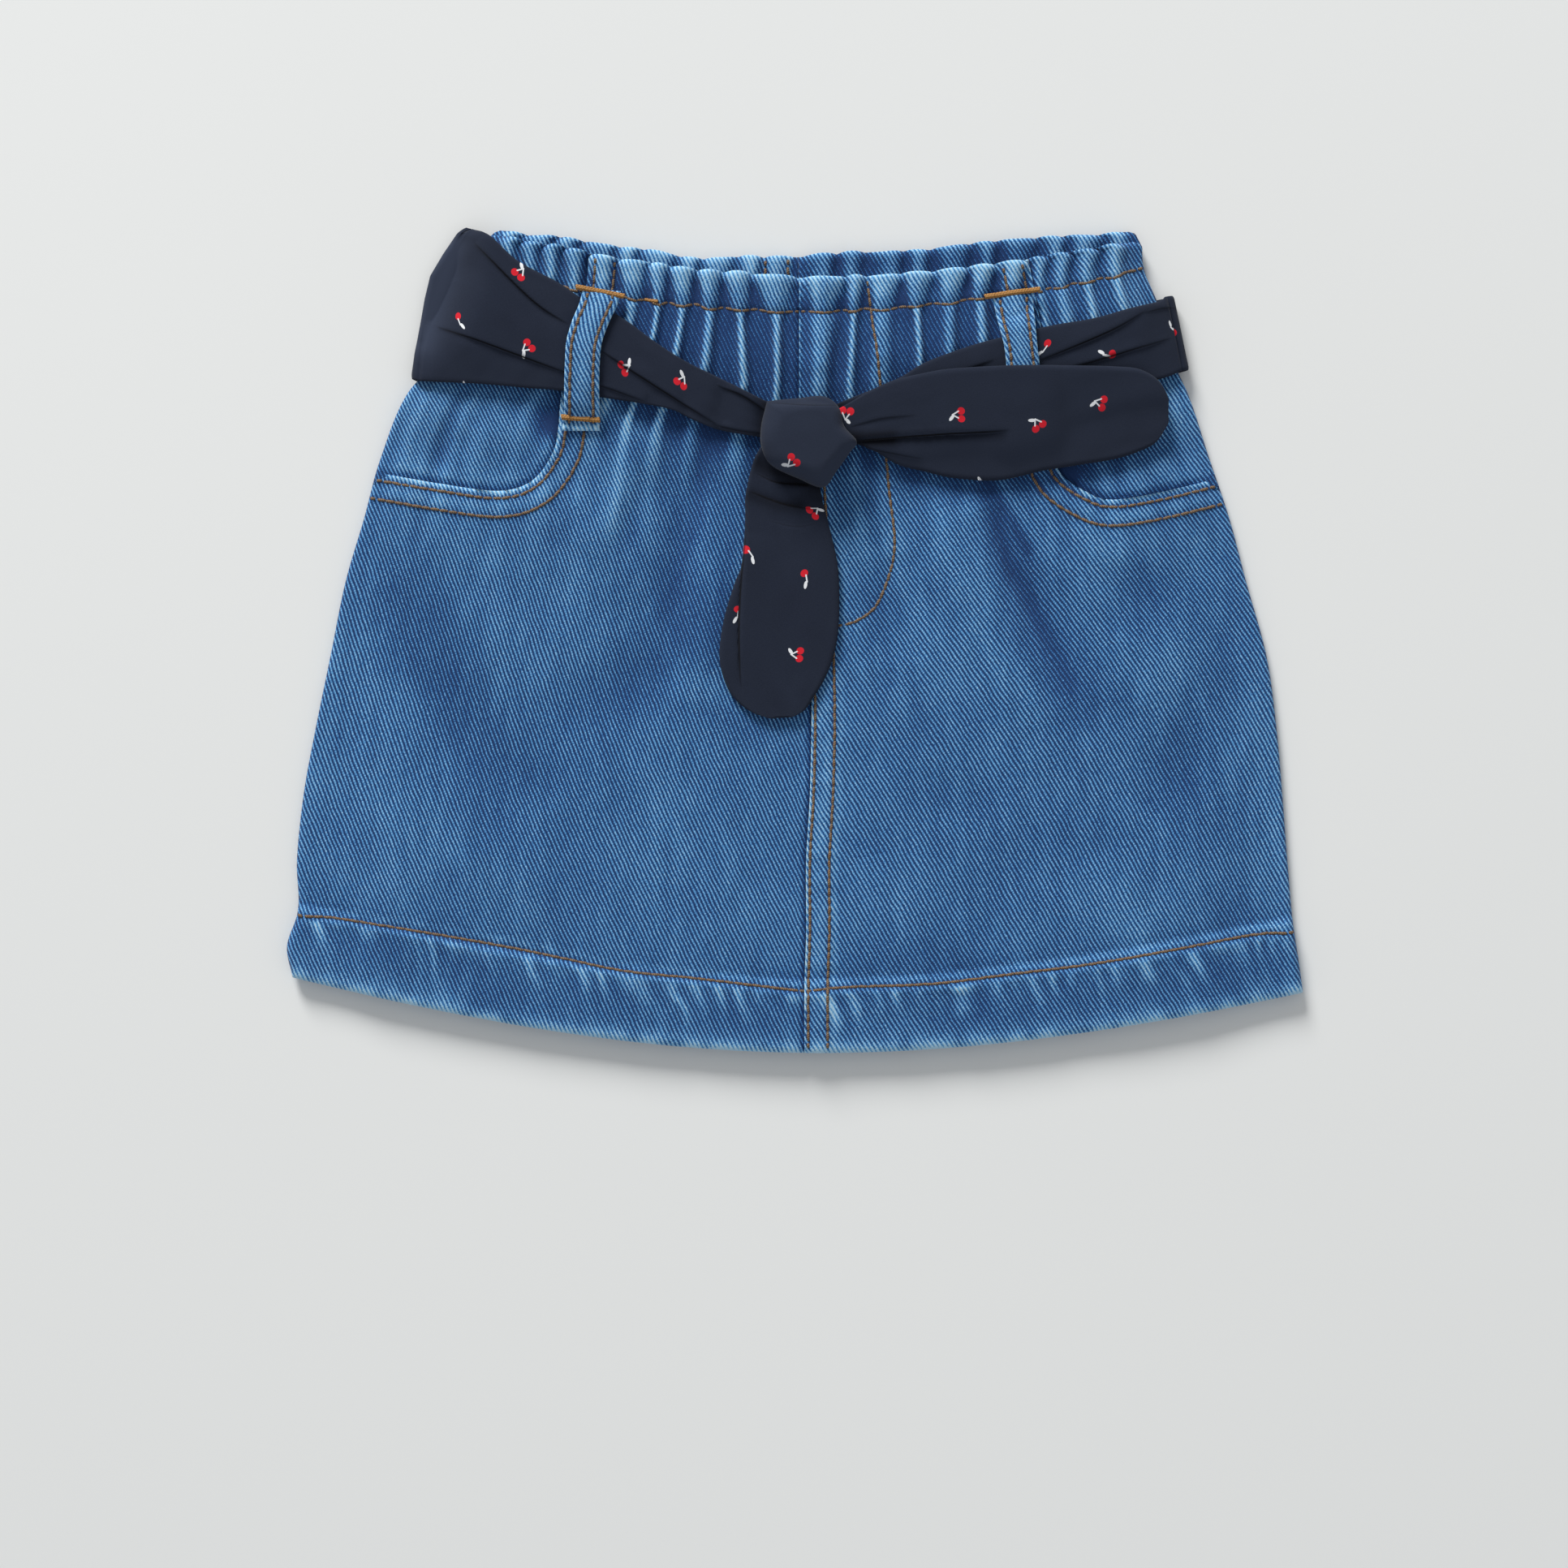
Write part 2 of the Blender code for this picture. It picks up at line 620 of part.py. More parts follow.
def join_rows(mesh, upper, lower):
    """Faces between two rows of points. The lower may have half as many spans."""
    if len(upper) == len(lower):
        for k in range(len(upper) - 1):
            mesh.faces.new((upper[k], lower[k], lower[k + 1], upper[k + 1]))
        return
    for k in range(len(lower) - 1):
        mesh.faces.new((upper[2 * k], lower[k], lower[k + 1], upper[2 * k + 2], upper[2 * k + 1]))


def add_cloth(name, rows, walls, material):
    """A sheet through the rows of points, with a wall of its own at each point."""
    mesh = bmesh.new()
    made = [[mesh.verts.new(point * MM) for point in row] for row in rows]
    for upper, lower in zip(made, made[1:]):
        join_rows(mesh, upper, lower)
    bmesh.ops.recalc_face_normals(mesh, faces=mesh.faces)
    obj = add_object(name, mesh, material)
    walls = np.concatenate([np.broadcast_to(wall, len(row)) for row, wall in zip(rows, walls)])
    group = obj.vertex_groups.new(name="wall")
    for index, wall in enumerate(walls):
        group.add([index], float(wall / walls.max()), "REPLACE")
    solid = obj.modifiers.new("wall", "SOLIDIFY")
    solid.thickness = walls.max() * MM
    solid.offset = 0
    solid.vertex_group = group.name
    return obj


def pocket_region(points, side, clearance):
    """The outline of what shows in a pocket: its edge, moved in by the clearance, and round outside."""
    count = np.arange(len(points))
    at = np.linspace(0, count[-1], 3 * count[-1] + 1)
    x = smooth(count, [point.x for point in points], at)
    y = smooth(count, [point.y for point in points], at)
    run_x, run_y = np.gradient(x), np.gradient(y)
    length = np.hypot(run_x, run_y)
    x = x - clearance * side * run_y / length
    y = y + clearance * side * run_x / length
    beyond = 20.0
    edge = [(x[0], y[0] + beyond)] + list(zip(x, y))
    return edge + [(x[-1] + side * beyond, y[-1]), (x[-1] + side * beyond, y[0] + beyond)]


def add_cutter(name, outline):
    mesh = bmesh.new()
    face = mesh.faces.new([mesh.verts.new((x * MM, y * MM, -10 * MM)) for x, y in outline])
    raised = bmesh.ops.extrude_face_region(mesh, geom=[face])
    points = [item for item in raised["geom"] if isinstance(item, bmesh.types.BMVert)]
    bmesh.ops.translate(mesh, verts=points, vec=(0, 0, 50 * MM))
    bmesh.ops.recalc_face_normals(mesh, faces=mesh.faces)
    data = bpy.data.meshes.new(name)
    mesh.to_mesh(data)
    mesh.free()
    cutter = bpy.data.objects.new(name, data)
    bpy.context.scene.collection.objects.link(cutter)
    cutter.hide_render = True
    cutter.display_type = "WIRE"
    return cutter


def cut(obj, operation, cutter):
    boolean = obj.modifiers.new("pocket", "BOOLEAN")
    boolean.operation = operation
    boolean.object = cutter


# Pieces

def fine_and_coarse(is_front, side, fine_down, coarse_down, shares):
    """Rows of a panel's points and walls, with every second column left out of the coarse rows."""
    fine, fine_wall = panel_grid(is_front, side, fine_down, shares)
    coarse, coarse_wall = panel_grid(is_front, side, coarse_down, shares)
    rows = list(fine) + list(coarse[:, ::2])
    walls = list(fine_wall) + list(coarse_wall[:, ::2])
    return rows, walls


def make_backs(denim):
    shares = quarter_steps(back_valleys())
    for name, side in (("back_left", -1), ("back_right", 1)):
        rows, walls = fine_and_coarse(False, side, BACK_FINE, BACK_COARSE, shares)
        add_cloth(name, rows, walls, denim)


def make_fronts(denim):
    """The front panels and the pocket yokes. Returns points of their upper side."""
    support = []
    for word, side, pocket in (("left", -1, LEFT_POCKET), ("right", 1, RIGHT_POCKET)):
        shares = quarter_steps(gather_shares(side))
        rows, walls = fine_and_coarse(True, side, FRONT_FINE, FRONT_COARSE, shares)
        front = add_cloth("front_" + word, rows, walls, denim)
        cut(front, "DIFFERENCE", add_cutter("pocket_opening_" + word, pocket_region(pocket, side, 0)))
        yoke, walls = panel_grid(True, side, YOKE_DOWN, shares[shares < 0.55], YOKE_DROP)
        piece = add_cloth("pocket_yoke_" + word, list(yoke), list(walls), denim)
        cut(piece, "INTERSECT", add_cutter("yoke_outline_" + word, pocket_region(pocket, side, GAP)))
        fine = np.stack(rows[: len(FRONT_FINE)])
        coarse = np.stack([fine[-1][::2]] + rows[len(FRONT_FINE) : len(FRONT_FINE) + 9])
        support += [top_points(fine, HEADING_WALL), top_points(coarse, BODY_WALL, 5)]
    return support


def make_sash(navy, front):
    """The sash round the waist. Returns points of its two front stretches' upper side."""
    stations = (moved_in(-1, SASH_LEFT[0], UNDER_REACH + GAP),) + SASH_BACK
    stations = stations + (moved_in(1, SASH_RIGHT[0], UNDER_REACH + GAP),)
    along = np.linspace(0, len(stations) - 1, 25)[:, None]
    across = np.linspace(0, 1, 4)[None, :]
    top_x, top_y, foot_x, foot_y = strip_edges(stations, along)
    x, y = top_x + (foot_x - top_x) * across, top_y + (foot_y - top_y) * across
    back = np.stack([x, y, SASH_WALL / 2 + 0 * x], axis=2)
    add_cloth("sash_back", list(back), [SASH_WALL] * len(back), navy)
    left = wrapped_grid(-1, SASH_LEFT, SASH_LEFT_BULGE, (24, 8), front, SASH_LEFT_RIDGES)
    right = wrapped_grid(1, SASH_RIGHT, STRAIGHT, (24, 6), front, SASH_RIGHT_RIDGES)
    add_cloth("sash_left", list(left), [SASH_WALL] * len(left), navy)
    add_cloth("sash_right", list(right), [SASH_WALL] * len(right), navy)
    return [top_points(left[6:], SASH_WALL), top_points(right[6:], SASH_WALL)]


def make_loops(denim, support):
    made = []
    for name, stations in (("belt_loop_left", LOOP_LEFT), ("belt_loop_right", LOOP_RIGHT)):
        grid = strip_grid(stations, (14, 3), support, LOOP_WALL, radius=9.0)
        add_cloth(name, list(grid), [LOOP_WALL] * len(grid), denim)
        made.append(top_points(grid, LOOP_WALL))
    return made


def make_tails(navy, support):
    made = []
    table = (
        ("sash_tail_right", TAIL_RIGHT, (24, 9), TAIL_RIGHT_RIDGES),
        ("sash_tail_down", TAIL_DOWN, (22, 8), TAIL_DOWN_RIDGES),
    )
    for name, stations, spans, ridges in table:
        grid = strip_grid(stations, spans, support, TAIL_WALL, ridges)
        add_cloth(name, list(grid), [TAIL_WALL] * len(grid), navy)
        made.append(top_points(grid, TAIL_WALL))
    return made


def make_knot(navy, support):
    """A cushion-like solid: its under side lies on the cloth ends, its top is one wide turn of cloth."""
    count = np.arange(len(KNOT_OUTLINE) + 1)
    closed = KNOT_OUTLINE + KNOT_OUTLINE[:1]
    at = np.linspace(0, count[-1], KNOT_SEGMENTS, endpoint=False)
    rim_x = smooth(count, [point.x for point in closed], at)
    rim_y = smooth(count, [point.y for point in closed], at)
    centre_x, centre_y = rim_x.mean(), rim_y.mean()
    rings = []
    for is_top, share in ((0, 0.3), (0, 0.65), (0, 0.93), (1, 1), (1, 0.93), (1, 0.78), (1, 0.58), (1, 0.36), (1, 0.15)):
        x = centre_x + (rim_x - centre_x) * share
        y = centre_y + (rim_y - centre_y) * share
        z = lie_on(x, y, support, 14.0) + GAP
        if is_top:
            behind = KNOT_BEHIND * ease(y, KNOT_TURN_Y - 0.6, KNOT_TURN_Y + 0.6)
            dome = KNOT_HEIGHT * (1 - share**3) * (1 - behind)
            z = z + KNOT_RIM * (0.5 if share == 1 else 1) + dome
        rings.append(np.stack([x, y, z], axis=1))
    mesh = bmesh.new()
    made = [[mesh.verts.new(point * MM) for point in ring] for ring in rings]
    for lower, upper in zip(made, made[1:]):
        for k in range(KNOT_SEGMENTS):
            after = (k + 1) % KNOT_SEGMENTS
            mesh.faces.new((lower[k], lower[after], upper[after], upper[k]))
    for ring in (made[0], made[-1]):
        middle = mesh.verts.new(np.mean([tuple(point.co) for point in ring], axis=0))
        for k in range(KNOT_SEGMENTS):
            mesh.faces.new((ring[k], ring[(k + 1) % KNOT_SEGMENTS], middle))
    bmesh.ops.recalc_face_normals(mesh, faces=mesh.faces)
    add_object("sash_knot", mesh, navy)


def main():
    for obj in list(bpy.data.objects):
        bpy.data.objects.remove(obj, do_unlink=True)
    denim = cloth_material("washed_denim", DENIM, 0.85)
    navy = cloth_material("navy_cotton", NAVY, 0.8)
    make_backs(denim)
    front = make_fronts(denim)
    sash = make_sash(navy, np.concatenate(front))
    loops = make_loops(denim, np.concatenate(front + sash))
    tails = make_tails(navy, np.concatenate(front + sash + loops))
    make_knot(navy, np.concatenate(front + sash + tails))


main()
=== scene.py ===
"""The looks of a toddler's denim mini skirt with a sash tie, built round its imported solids.

The denim and the cotton are thin closed shells on the same surfaces as the solids, with finer
gathers, creases and seams. Stitches are small meshes of their own. Tables and sizes are in
millimetres, +X to the right of the picture, +Y up to the waist, +Z up from the surface.
"""

import math
from collections import namedtuple
from functools import lru_cache

import bpy
import numpy as np
from bpy.props import FloatProperty, FloatVectorProperty, PointerProperty
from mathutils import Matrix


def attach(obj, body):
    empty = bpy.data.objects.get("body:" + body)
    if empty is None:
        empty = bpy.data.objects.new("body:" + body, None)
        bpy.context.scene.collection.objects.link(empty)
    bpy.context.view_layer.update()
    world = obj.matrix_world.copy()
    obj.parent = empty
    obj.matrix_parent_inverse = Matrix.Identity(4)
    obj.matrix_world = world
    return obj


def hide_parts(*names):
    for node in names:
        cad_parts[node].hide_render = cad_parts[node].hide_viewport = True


bl_info = {
    "name": "Denim skirt looks",
    "version": (1, 0, 0),
    "blender": (4, 5, 0),
    "location": "View3D > Sidebar > Skirt",
    "description": "Dresses the packed denim mini skirt with cloth, stitches and a printed sash",
    "category": "Object",
}

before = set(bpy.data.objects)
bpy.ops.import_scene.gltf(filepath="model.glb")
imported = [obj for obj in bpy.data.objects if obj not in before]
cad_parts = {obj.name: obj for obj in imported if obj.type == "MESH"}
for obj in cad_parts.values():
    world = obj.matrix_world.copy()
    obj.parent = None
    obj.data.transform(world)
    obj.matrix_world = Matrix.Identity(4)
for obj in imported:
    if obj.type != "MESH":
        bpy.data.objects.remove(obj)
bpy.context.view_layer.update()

MM = 0.001


def table(kind, *rows):
    """Rows of a table whose columns have names."""
    return tuple(kind(*row) for row in rows)


# Cloth walls, and the clearance between pieces
BODY_WALL = 1.2
HEADING_WALL = 1.4
HEM_WALL = 2.2
SASH_WALL = 1.0
TAIL_WALL = 1.6
LOOP_WALL = 1.4
GAP = 0.35

# Lengths down the centre front, from the heading's edge
TOP_EDGE_Y = 102.7
CASING_DOWN = 10.0
HEM_DOWN = 203.0
LENGTH = 219.5
CORNER_RADIUS = 2.2

# How much higher the back heading's edge is than the front's, and how much shorter the back hem
BACK_HIGHER = 6.0
BACK_SHORTER = 1.2

# Gathers: half the height of a wave at the heading's edge, at the casing stitch and below it
FRONT_WAVES = (1.35, 0.85, 1.05)
BACK_WAVES = (0.9, 0.5, 0.6)
BACK_WAVE_COUNT = 20
BACK_SEAM_SHARE = 1.015
BACK_REACH = 38.0
# How thin the crests are at the heading's edge, at the casing stitch, and far below it: under 1 is wide
CREST_EDGE = 0.32
CREST_NIP = 1.2
CREST_LOW = 1.3
BACK_CREST = 1.2
# How far the crests lean in 10 mm, as a share of a gather, all one way and this way and that, and
# how far above and below the casing stitch it goes on
GATHER_LEAN = 0.16
EVEN_LEAN = -0.7
UNEVEN_LEAN = 0.6
LEAN_REACH = (-10, 20)
# How far the heading's edge stands out on the crests, evenly and unevenly
SCALLOP = 0.5
LIP_UNEVEN = 0.4

# How far the back heading's edge stands over an even curve, and how far down that is felt
Rise = namedtuple("Rise", "x up")
BACK_TOP = table(
    Rise,
    (-92, 1.8), (-62, 1.0), (-42, 0), (-27, -1.4), (-12, -0.3), (0, 0.3), (8, 1.2), (34, 1.5), (51, 2.8),
    (63, 3.3), (80, 3.1), (96, 3.2),
)
BACK_TOP_REACH = 30.0

# Heights of the broad forms: the back over the sash behind it, the front's crown, the most that it
# stands clear of the back, and the pocket bags inside
RISE_OVER_SASH = 1.4
RISE_ENDS = (47.0, 64.0)
CROWN = 1.7
MOST_LIFT = 3.3
POCKET_BAG = 1.0
# How far a pocket yoke lies under the front, how much more beneath its turned edge, and how far in
# under that edge it goes
YOKE_DROP = 0.8
YOKE_TUCK = 0.75
YOKE_UNDER = 3.5

# Seams: the centre lap, the left front's step down under it, the pocket's turned edge, and their
# twin needle rows
LAP_WIDTH = 7.9
LAP_HEIGHT = 0.5
LAP_ROWS = (1.25, 6.75)
LAP_ROWS_START = 40.0
BACK_ROWS = (3.0, 9.4)
LAP_STEP = 1.0
LAP_UNDER = 0.7
BACK_SEAM_GAP = 0.02
POCKET_BAND = 8.0
POCKET_ROWS = (2.1, 7.4)
POCKET_BAND_HEIGHT = 0.35
# How deep rows of stitches pull into the cloth, and the height of the hem's puckers
NIP = 0.3
HEM_NIP = 0.6
CASING_NIP = 0.5
ROPE_HEIGHT = 0.55

# Wear of the denim's edges, and painted shadow beside the centre lap: how pale each edge is drawn, dark under
# 0 where shadow is painted, and how far in that reaches
Edge = namedtuple("Edge", "pale reach")
TOP_WORN = Edge(0.9, 0.8)
HEM_WORN = Edge(2.6, 1.7)
LAP_WORN = Edge(2.4, 0.7)
SHADOW_UNDER_LAP = Edge(-0.7, 0.9)
BACK_TOP_WORN = Edge(0.6, 0.7)
BACK_HEM_WORN = Edge(1.0, 1.2)
# Pale or dark bands along a seam: how pale, how far from the seam, and how wide
Band = namedtuple("Band", "pale place width")
OVER_HEM_BAND = Band(0.4, -1.8, 1.2)
POCKET_WORN_BAND = Band(0.35, 4.8, 1.5)
LAP_BAND = Band(0.38, 4, 2.5)
BESIDE_LAP_BAND = Band(0.5, 8.2, 1.1)
BACK_SEAM_BANDS = (Band(1.0, 2.4, 0.5), Band(-0.6, 0.8, 0.9))
# Painted shade: how dark the denim is drawn in the groove of a row of stitches
STITCH_SHADE = 0.42

# The word and the sign of x for each side
SIDES = (("left", -1), ("right", 1))

# Rows across the skirt where its outline was measured: how far down the centre front each is, its
# two ends, and where the centre seam crosses it
Row = namedtuple("Row", "place down left_x left_y right_x right_y seam_x")
ROWS = table(
    Row,
    ("heading edge", 0, -87.5, 115, 98.5, 113, 1),
    ("casing stitch", 10, -88, 104, 99, 105.5, 1),
    ("casing foot", 23, -94, 89.5, 103.5, 94, 1),
    ("sash", 36.5, -103.5, 77.5, 107.5, 79, 1),
    ("sash foot", 46, -110, 70, 111.5, 70, 1),
    ("pocket foot", 66.5, -118, 51, 118, 51, 2),
    ("hip", 84, -122.5, 34.5, 123.5, 34.5, 3),
    ("below hip", 101.5, -127.5, 17.5, 128, 17.5, 4),
    ("middle", 124.5, -132, -4.5, 134, -4.5, 4.5),
    ("thigh", 147.5, -136.5, -26.5, 137, -26.5, 4),
    ("below thigh", 165, -139.5, -43, 138.5, -44, 3),
    ("above hem", 185, -141.5, -62.5, 140, -63.5, 3),
    ("hem stitch", 202, -141.3, -77.5, 141.6, -81.5, 2.5),
    ("hem middle", 211.5, -144.2, -87, 143, -91, 2.5),
    ("hem edge", LENGTH, -142.6, -95.5, 144.2, -99.8, 2.5),
)

# Valleys of the front gathers: place along the casing stitch, height of the wave on its outer side
# as a share of the full height, how far down the cloth it runs, and how thin its crest is there
Gather = namedtuple("Gather", "x height reach thin")
LEFT_GATHERS = table(
    Gather,
    (-79, 0.8, 30, 2), (-73, 0.7, 30, 3), (-67, 0.9, 34, 2), (-59.5, 1.0, 40, 1.5), (-51, 1.0, 36, 1),
    (-42, 0.8, 44, 2.5), (-36, 0.9, 42, 3.5), (-28, 1.0, 46, 4.5), (-20, 1.1, 44, 2.4),
    (-10.5, 1.1, 40, 6), (1, 1.1, 40, 5),
)
RIGHT_GATHERS = table(
    Gather,
    (96, 0.8, 30, 2), (87.5, 0.9, 32, 3.5), (79.5, 0.9, 36, 4), (72.5, 0.8, 34, 0.9), (66.5, 0.7, 38, 2),
    (56.5, 1.0, 42, 1), (48.5, 1.0, 46, 1.7), (38.5, 1.0, 44, 2.2), (29.5, 1.0, 46, 6),
    (18.5, 0.8, 40, 1.2), (12.5, 1.0, 42, 2.6), (1, 1.1, 40, 0.6),
)

# Where the hem's stitches run on each front: the share in from the side edge, and how far down
Hem = namedtuple("Hem", "share down")
LEFT_HEM = table(
    Hem,
    (0, 202.2), (0.05, 200.7), (0.14, 199.5), (0.28, 198.3), (0.42, 198), (0.52, 198.6), (0.63, 199.7),
    (0.78, 199.8), (0.9, 200.8), (1, 202.1),
)
RIGHT_HEM = table(
    Hem,
    (0, 203), (0.05, 201.7), (0.2, 201.1), (0.42, 201), (0.57, 200.7), (0.72, 201.2), (0.93, 201.1),
    (1, 202.1),
)

# Folds of the front, each on a bent line: a height over 0 is a ridge, under 0 a trough.
# The broad ones are in the solids too.
Fold = namedtuple("Fold", "place x0 y0 x1 y1 x2 y2 width height")
FOLDS = table(
    Fold,
    ("left trough", -117, 20, -100, -14, -71, -51, 13, -1.4),
    ("left middle trough", -25, 46, -39, -7, -69, -25, 11, -1.3),
    ("left waist ridge", -48, 66, -53, 43, -64, 25, 12, 1.0),
    ("ridge left of tail", -21, 46, -24, 7, -30, -21, 8, 1.2),
    ("right crease", 54, 39, 62, 23, 82, -18, 9, -1.6),
    ("right crease's ridge", 44, 42, 51, 16, 70, -28, 10, 1.2),
    ("right hip trough", 99, 23, 97, 11, 92, 0, 10, -0.9),
    ("right thigh trough", 124, -7, 110, -35, 99, -51, 11, -1.2),
    ("fly trough", 25, 25, 27, 9, 28, -7, 9, -1.0),
    ("right hip ridge", 84, 35, 86, 20, 104, -20, 13, 1.0),
    ("left thigh ridge", -112, -40, -95, -58, -60, -78, 16, 0.8),
    ("hem middle ridge", 20, -60, 28, -84, 30, -108, 14, 0.7),
    ("hem right ridge", 84, -60, 92, -78, 96, -100, 14, 0.8),
)
SMALL_FOLDS = table(
    Fold,
    ("sharp line of the right crease", 53, 46, 62, 20, 80, -16, 2.6, -0.9),
    ("line left of the pocket", -93, 60, -98, 54, -103, 48, 5, -0.6),
    ("crest in the left pocket", -89, 62, -90, 55, -93, 46, 5, 0.6),
    ("crest in the right pocket", 97, 59, 101, 52, 106, 44, 3.5, 0.6),
    ("fold below the left loop", -60, 56, -58, 40, -66, 26, 4, -0.5),
    ("fold under the sash", -36, 62, -42, 44, -52, 22, 5, -0.7),
    ("crest under the sash", -42, 62, -47, 44, -56, 26, 4, 0.5),
    ("fold beside the tail", -27, 58, -31, 34, -36, 8, 4, -0.7),
    ("crest beside the tail", -22, 54, -25, 32, -27, 4, 4, 0.6),
    ("fold right of the fly", 33, 44, 38, 22, 44, 0, 6, -0.4),
    ("fold below the right tail", 66, 44, 76, 28, 90, 14, 5, -0.4),
    ("soft line on the right thigh", 30, -50, 52, -44, 60, -36, 8, -0.4),
    ("soft line by the right hem", 50, -88, 54, -76, 70, -58, 8, -0.35),
    ("soft line by the left hem", -70, -90, -66, -74, -60, -60, 8, -0.35),
)

# The curved edge of each front pocket's opening, from the heading round to the side edge
Point = namedtuple("Point", "x y")
LEFT_POCKET = table(
    Point,
    (-58.3, 108.3), (-59.2, 98.7), (-63.1, 82.6), (-66.1, 69.9), (-67, 59.6), (-68.7, 52.7),
    (-74.6, 45.1), (-84.1, 42.3), (-100.6, 44.4), (-117.4, 47.4),
)
RIGHT_POCKET = table(
    Point,
    (65.9, 107.4), (68, 96.4), (70.5, 82), (72.3, 68), (73.2, 57), (74.9, 47.8), (82.9, 41.8),
    (90.7, 39.8), (105.7, 42.4), (120.9, 46.3),
)
# The single row of stitches that marks a fly on the right front
FLY_ROW = table(
    Point,
    (20.4, 102.1), (22, 89.5), (23.6, 78), (26.6, 43.5), (28.2, 29.7), (27.3, 20.5), (23.1, 10.1),
    (17.4, 5.5), (11.5, 4),
)

# A strip of cloth seen from above: its upper and lower edge at each station along it
Station = namedtuple("Station", "top_x top_y foot_x foot_y")
SASH_LEFT = table(
    Station,
    (-93.7, 117.2, -108.9, 74.3), (-86.1, 114, -97, 72.7), (-78.1, 106.7, -87.3, 72.2),
    (-66.6, 100.5, -75.8, 71.1), (-59.7, 95.9, -65.4, 70.2), (-49.3, 91, -53.7, 68.3),
    (-39, 83.6, -43.1, 66.7), (-30.7, 78.4, -34.4, 64.9), (-20.8, 73.6, -28.6, 62.1),
    (-13, 69.7, -20.8, 59.3), (-8.2, 67.4, -11.4, 57.7), (-3.3, 65, -4, 56.4),
)
SASH_RIGHT = table(
    Station,
    (107.5, 97.8, 111.9, 76.8), (102.5, 95.5, 105, 74.3), (93, 92.9, 96.7, 72), (83.8, 90.4, 85.2, 68.8),
    (71.4, 88.3, 71.4, 65.3), (56.7, 84.8, 57.6, 61.9), (47.7, 82.2, 48.4, 59.6),
    (36.9, 78.2, 38.1, 57.7), (30.2, 74.3, 30, 57), (23.1, 71.2, 23.1, 56.6), (14.8, 67.9, 15.1, 57),
    (10.5, 66, 10.5, 57),
)
SASH_BACK = table(
    Station,
    (-60, 101, -66, 67), (-30, 93.5, -32, 65), (0, 92, 0, 64.5), (30, 92.5, 31, 65), (60, 93, 62, 67),
)
TAIL_RIGHT = table(
    Station,
    (11.6, 64.6, 12.5, 57), (15.3, 66.7, 16.2, 55.7), (20.8, 69.9, 22, 53.6), (27.7, 72.9, 28.9, 49.7),
    (35.8, 74.8, 36.9, 47.6), (43.8, 76.1, 45, 45.8), (57.8, 76.8, 57.8, 45.2), (70, 77, 70, 47.8),
    (79.5, 77, 80.6, 49.5), (89.8, 76.8, 91, 51.3), (96.9, 76.1, 97.9, 53.6), (102.5, 72.9, 102.2, 56.1),
    (105.5, 67.4, 105.5, 61.2),
)
TAIL_DOWN = table(
    Station,
    (-9.1, 55.4, 5.9, 48.1), (-11.8, 50.3, 7.2, 42.6), (-13.9, 41.4, 7.9, 38.9), (-14.1, 33.8, 9.8, 31.7),
    (-14.8, 22.3, 11.8, 22.8), (-17.1, 15.9, 12.5, 15.4), (-19.9, 6.7, 12.3, 3.2),
    (-21.3, -2.5, 10.7, -5.3), (-20.6, -9.4, 8.2, -11.3), (-17.6, -15.9, 5.4, -15.9),
    (-12.5, -20.2, 2.9, -19.6), (-6.8, -22.1, -1, -21.8),
)
LOOP_LEFT = table(
    Station,
    (-59.6, 98.8, -49.1, 98.2), (-60.8, 94.1, -50, 94.1), (-62.7, 89.5, -52.1, 89.5),
    (-64.3, 83.7, -54.2, 83.7), (-64.7, 78, -54.9, 78), (-65, 71.1, -55.1, 71.1),
    (-65.2, 63.9, -55.1, 63.9), (-65.9, 59.1, -55.3, 59.1),
)
LOOP_RIGHT = table(
    Station,
    (55.8, 96.6, 67.4, 97.9), (56.4, 92.9, 67.2, 94.1), (57.4, 88.3, 67.7, 88.3),
    (58.8, 82.6, 68.2, 82.6), (59.5, 76.8, 68.9, 76.8), (59.9, 68.8, 69.3, 68.8),
    (60.4, 59.5, 69.8, 59.5),
)
# A loop's rows of stitches, as shares of its width, their groove, and its crown between them
LOOP_ROWS = (0.16, 0.82)
LOOP_NIP = 0.22
LOOP_CROWN = 0.2

# How far the sash's left fold stands out from the straight line between its ends
Bulge = namedtuple("Bulge", "share out")
SASH_LEFT_BULGE = table(
    Bulge,
    (0, 0), (0.05, 1.6), (0.2, 3.4), (0.355, 4.8), (0.5, 4.1), (0.655, 2.9), (0.84, 1.6), (1, 0),
)
STRAIGHT = (Bulge(0, 0), Bulge(1, 0))
# How many stations in from the fold that still shows
BULGE_STATIONS = 2.0

# Painted shadows where a pocket's edge gapes: their places, how far they reach and how dark they are
GAPES = (Point(77.2, 47.8), Point(-68.6, 61.5))
GAPE_REACH = 4.0
GAPE_DARK = 2.0
# Finer steps for the route of a pocket's edge where cloth is cut along it
POCKET_STEPS = 8

# Long soft ridges of a strip: share of the width where each starts and ends, width and height
Ridge = namedtuple("Ridge", "start end width height")
SASH_LEFT_RIDGES = table(Ridge, (0.12, 0.25, 0.14, 0.3), (0.45, 0.62, 0.2, 0.4), (0.8, 0.9, 0.12, 0.25))
SASH_RIGHT_RIDGES = table(Ridge, (0.15, 0.2, 0.16, 0.3), (0.6, 0.5, 0.2, 0.35))
TAIL_RIGHT_RIDGES = table(Ridge, (0.2, 0.25, 0.22, 0.3), (0.75, 0.7, 0.2, 0.25))
TAIL_DOWN_RIDGES = table(Ridge, (0.3, 0.3, 0.24, 0.4), (0.75, 0.8, 0.2, 0.3))

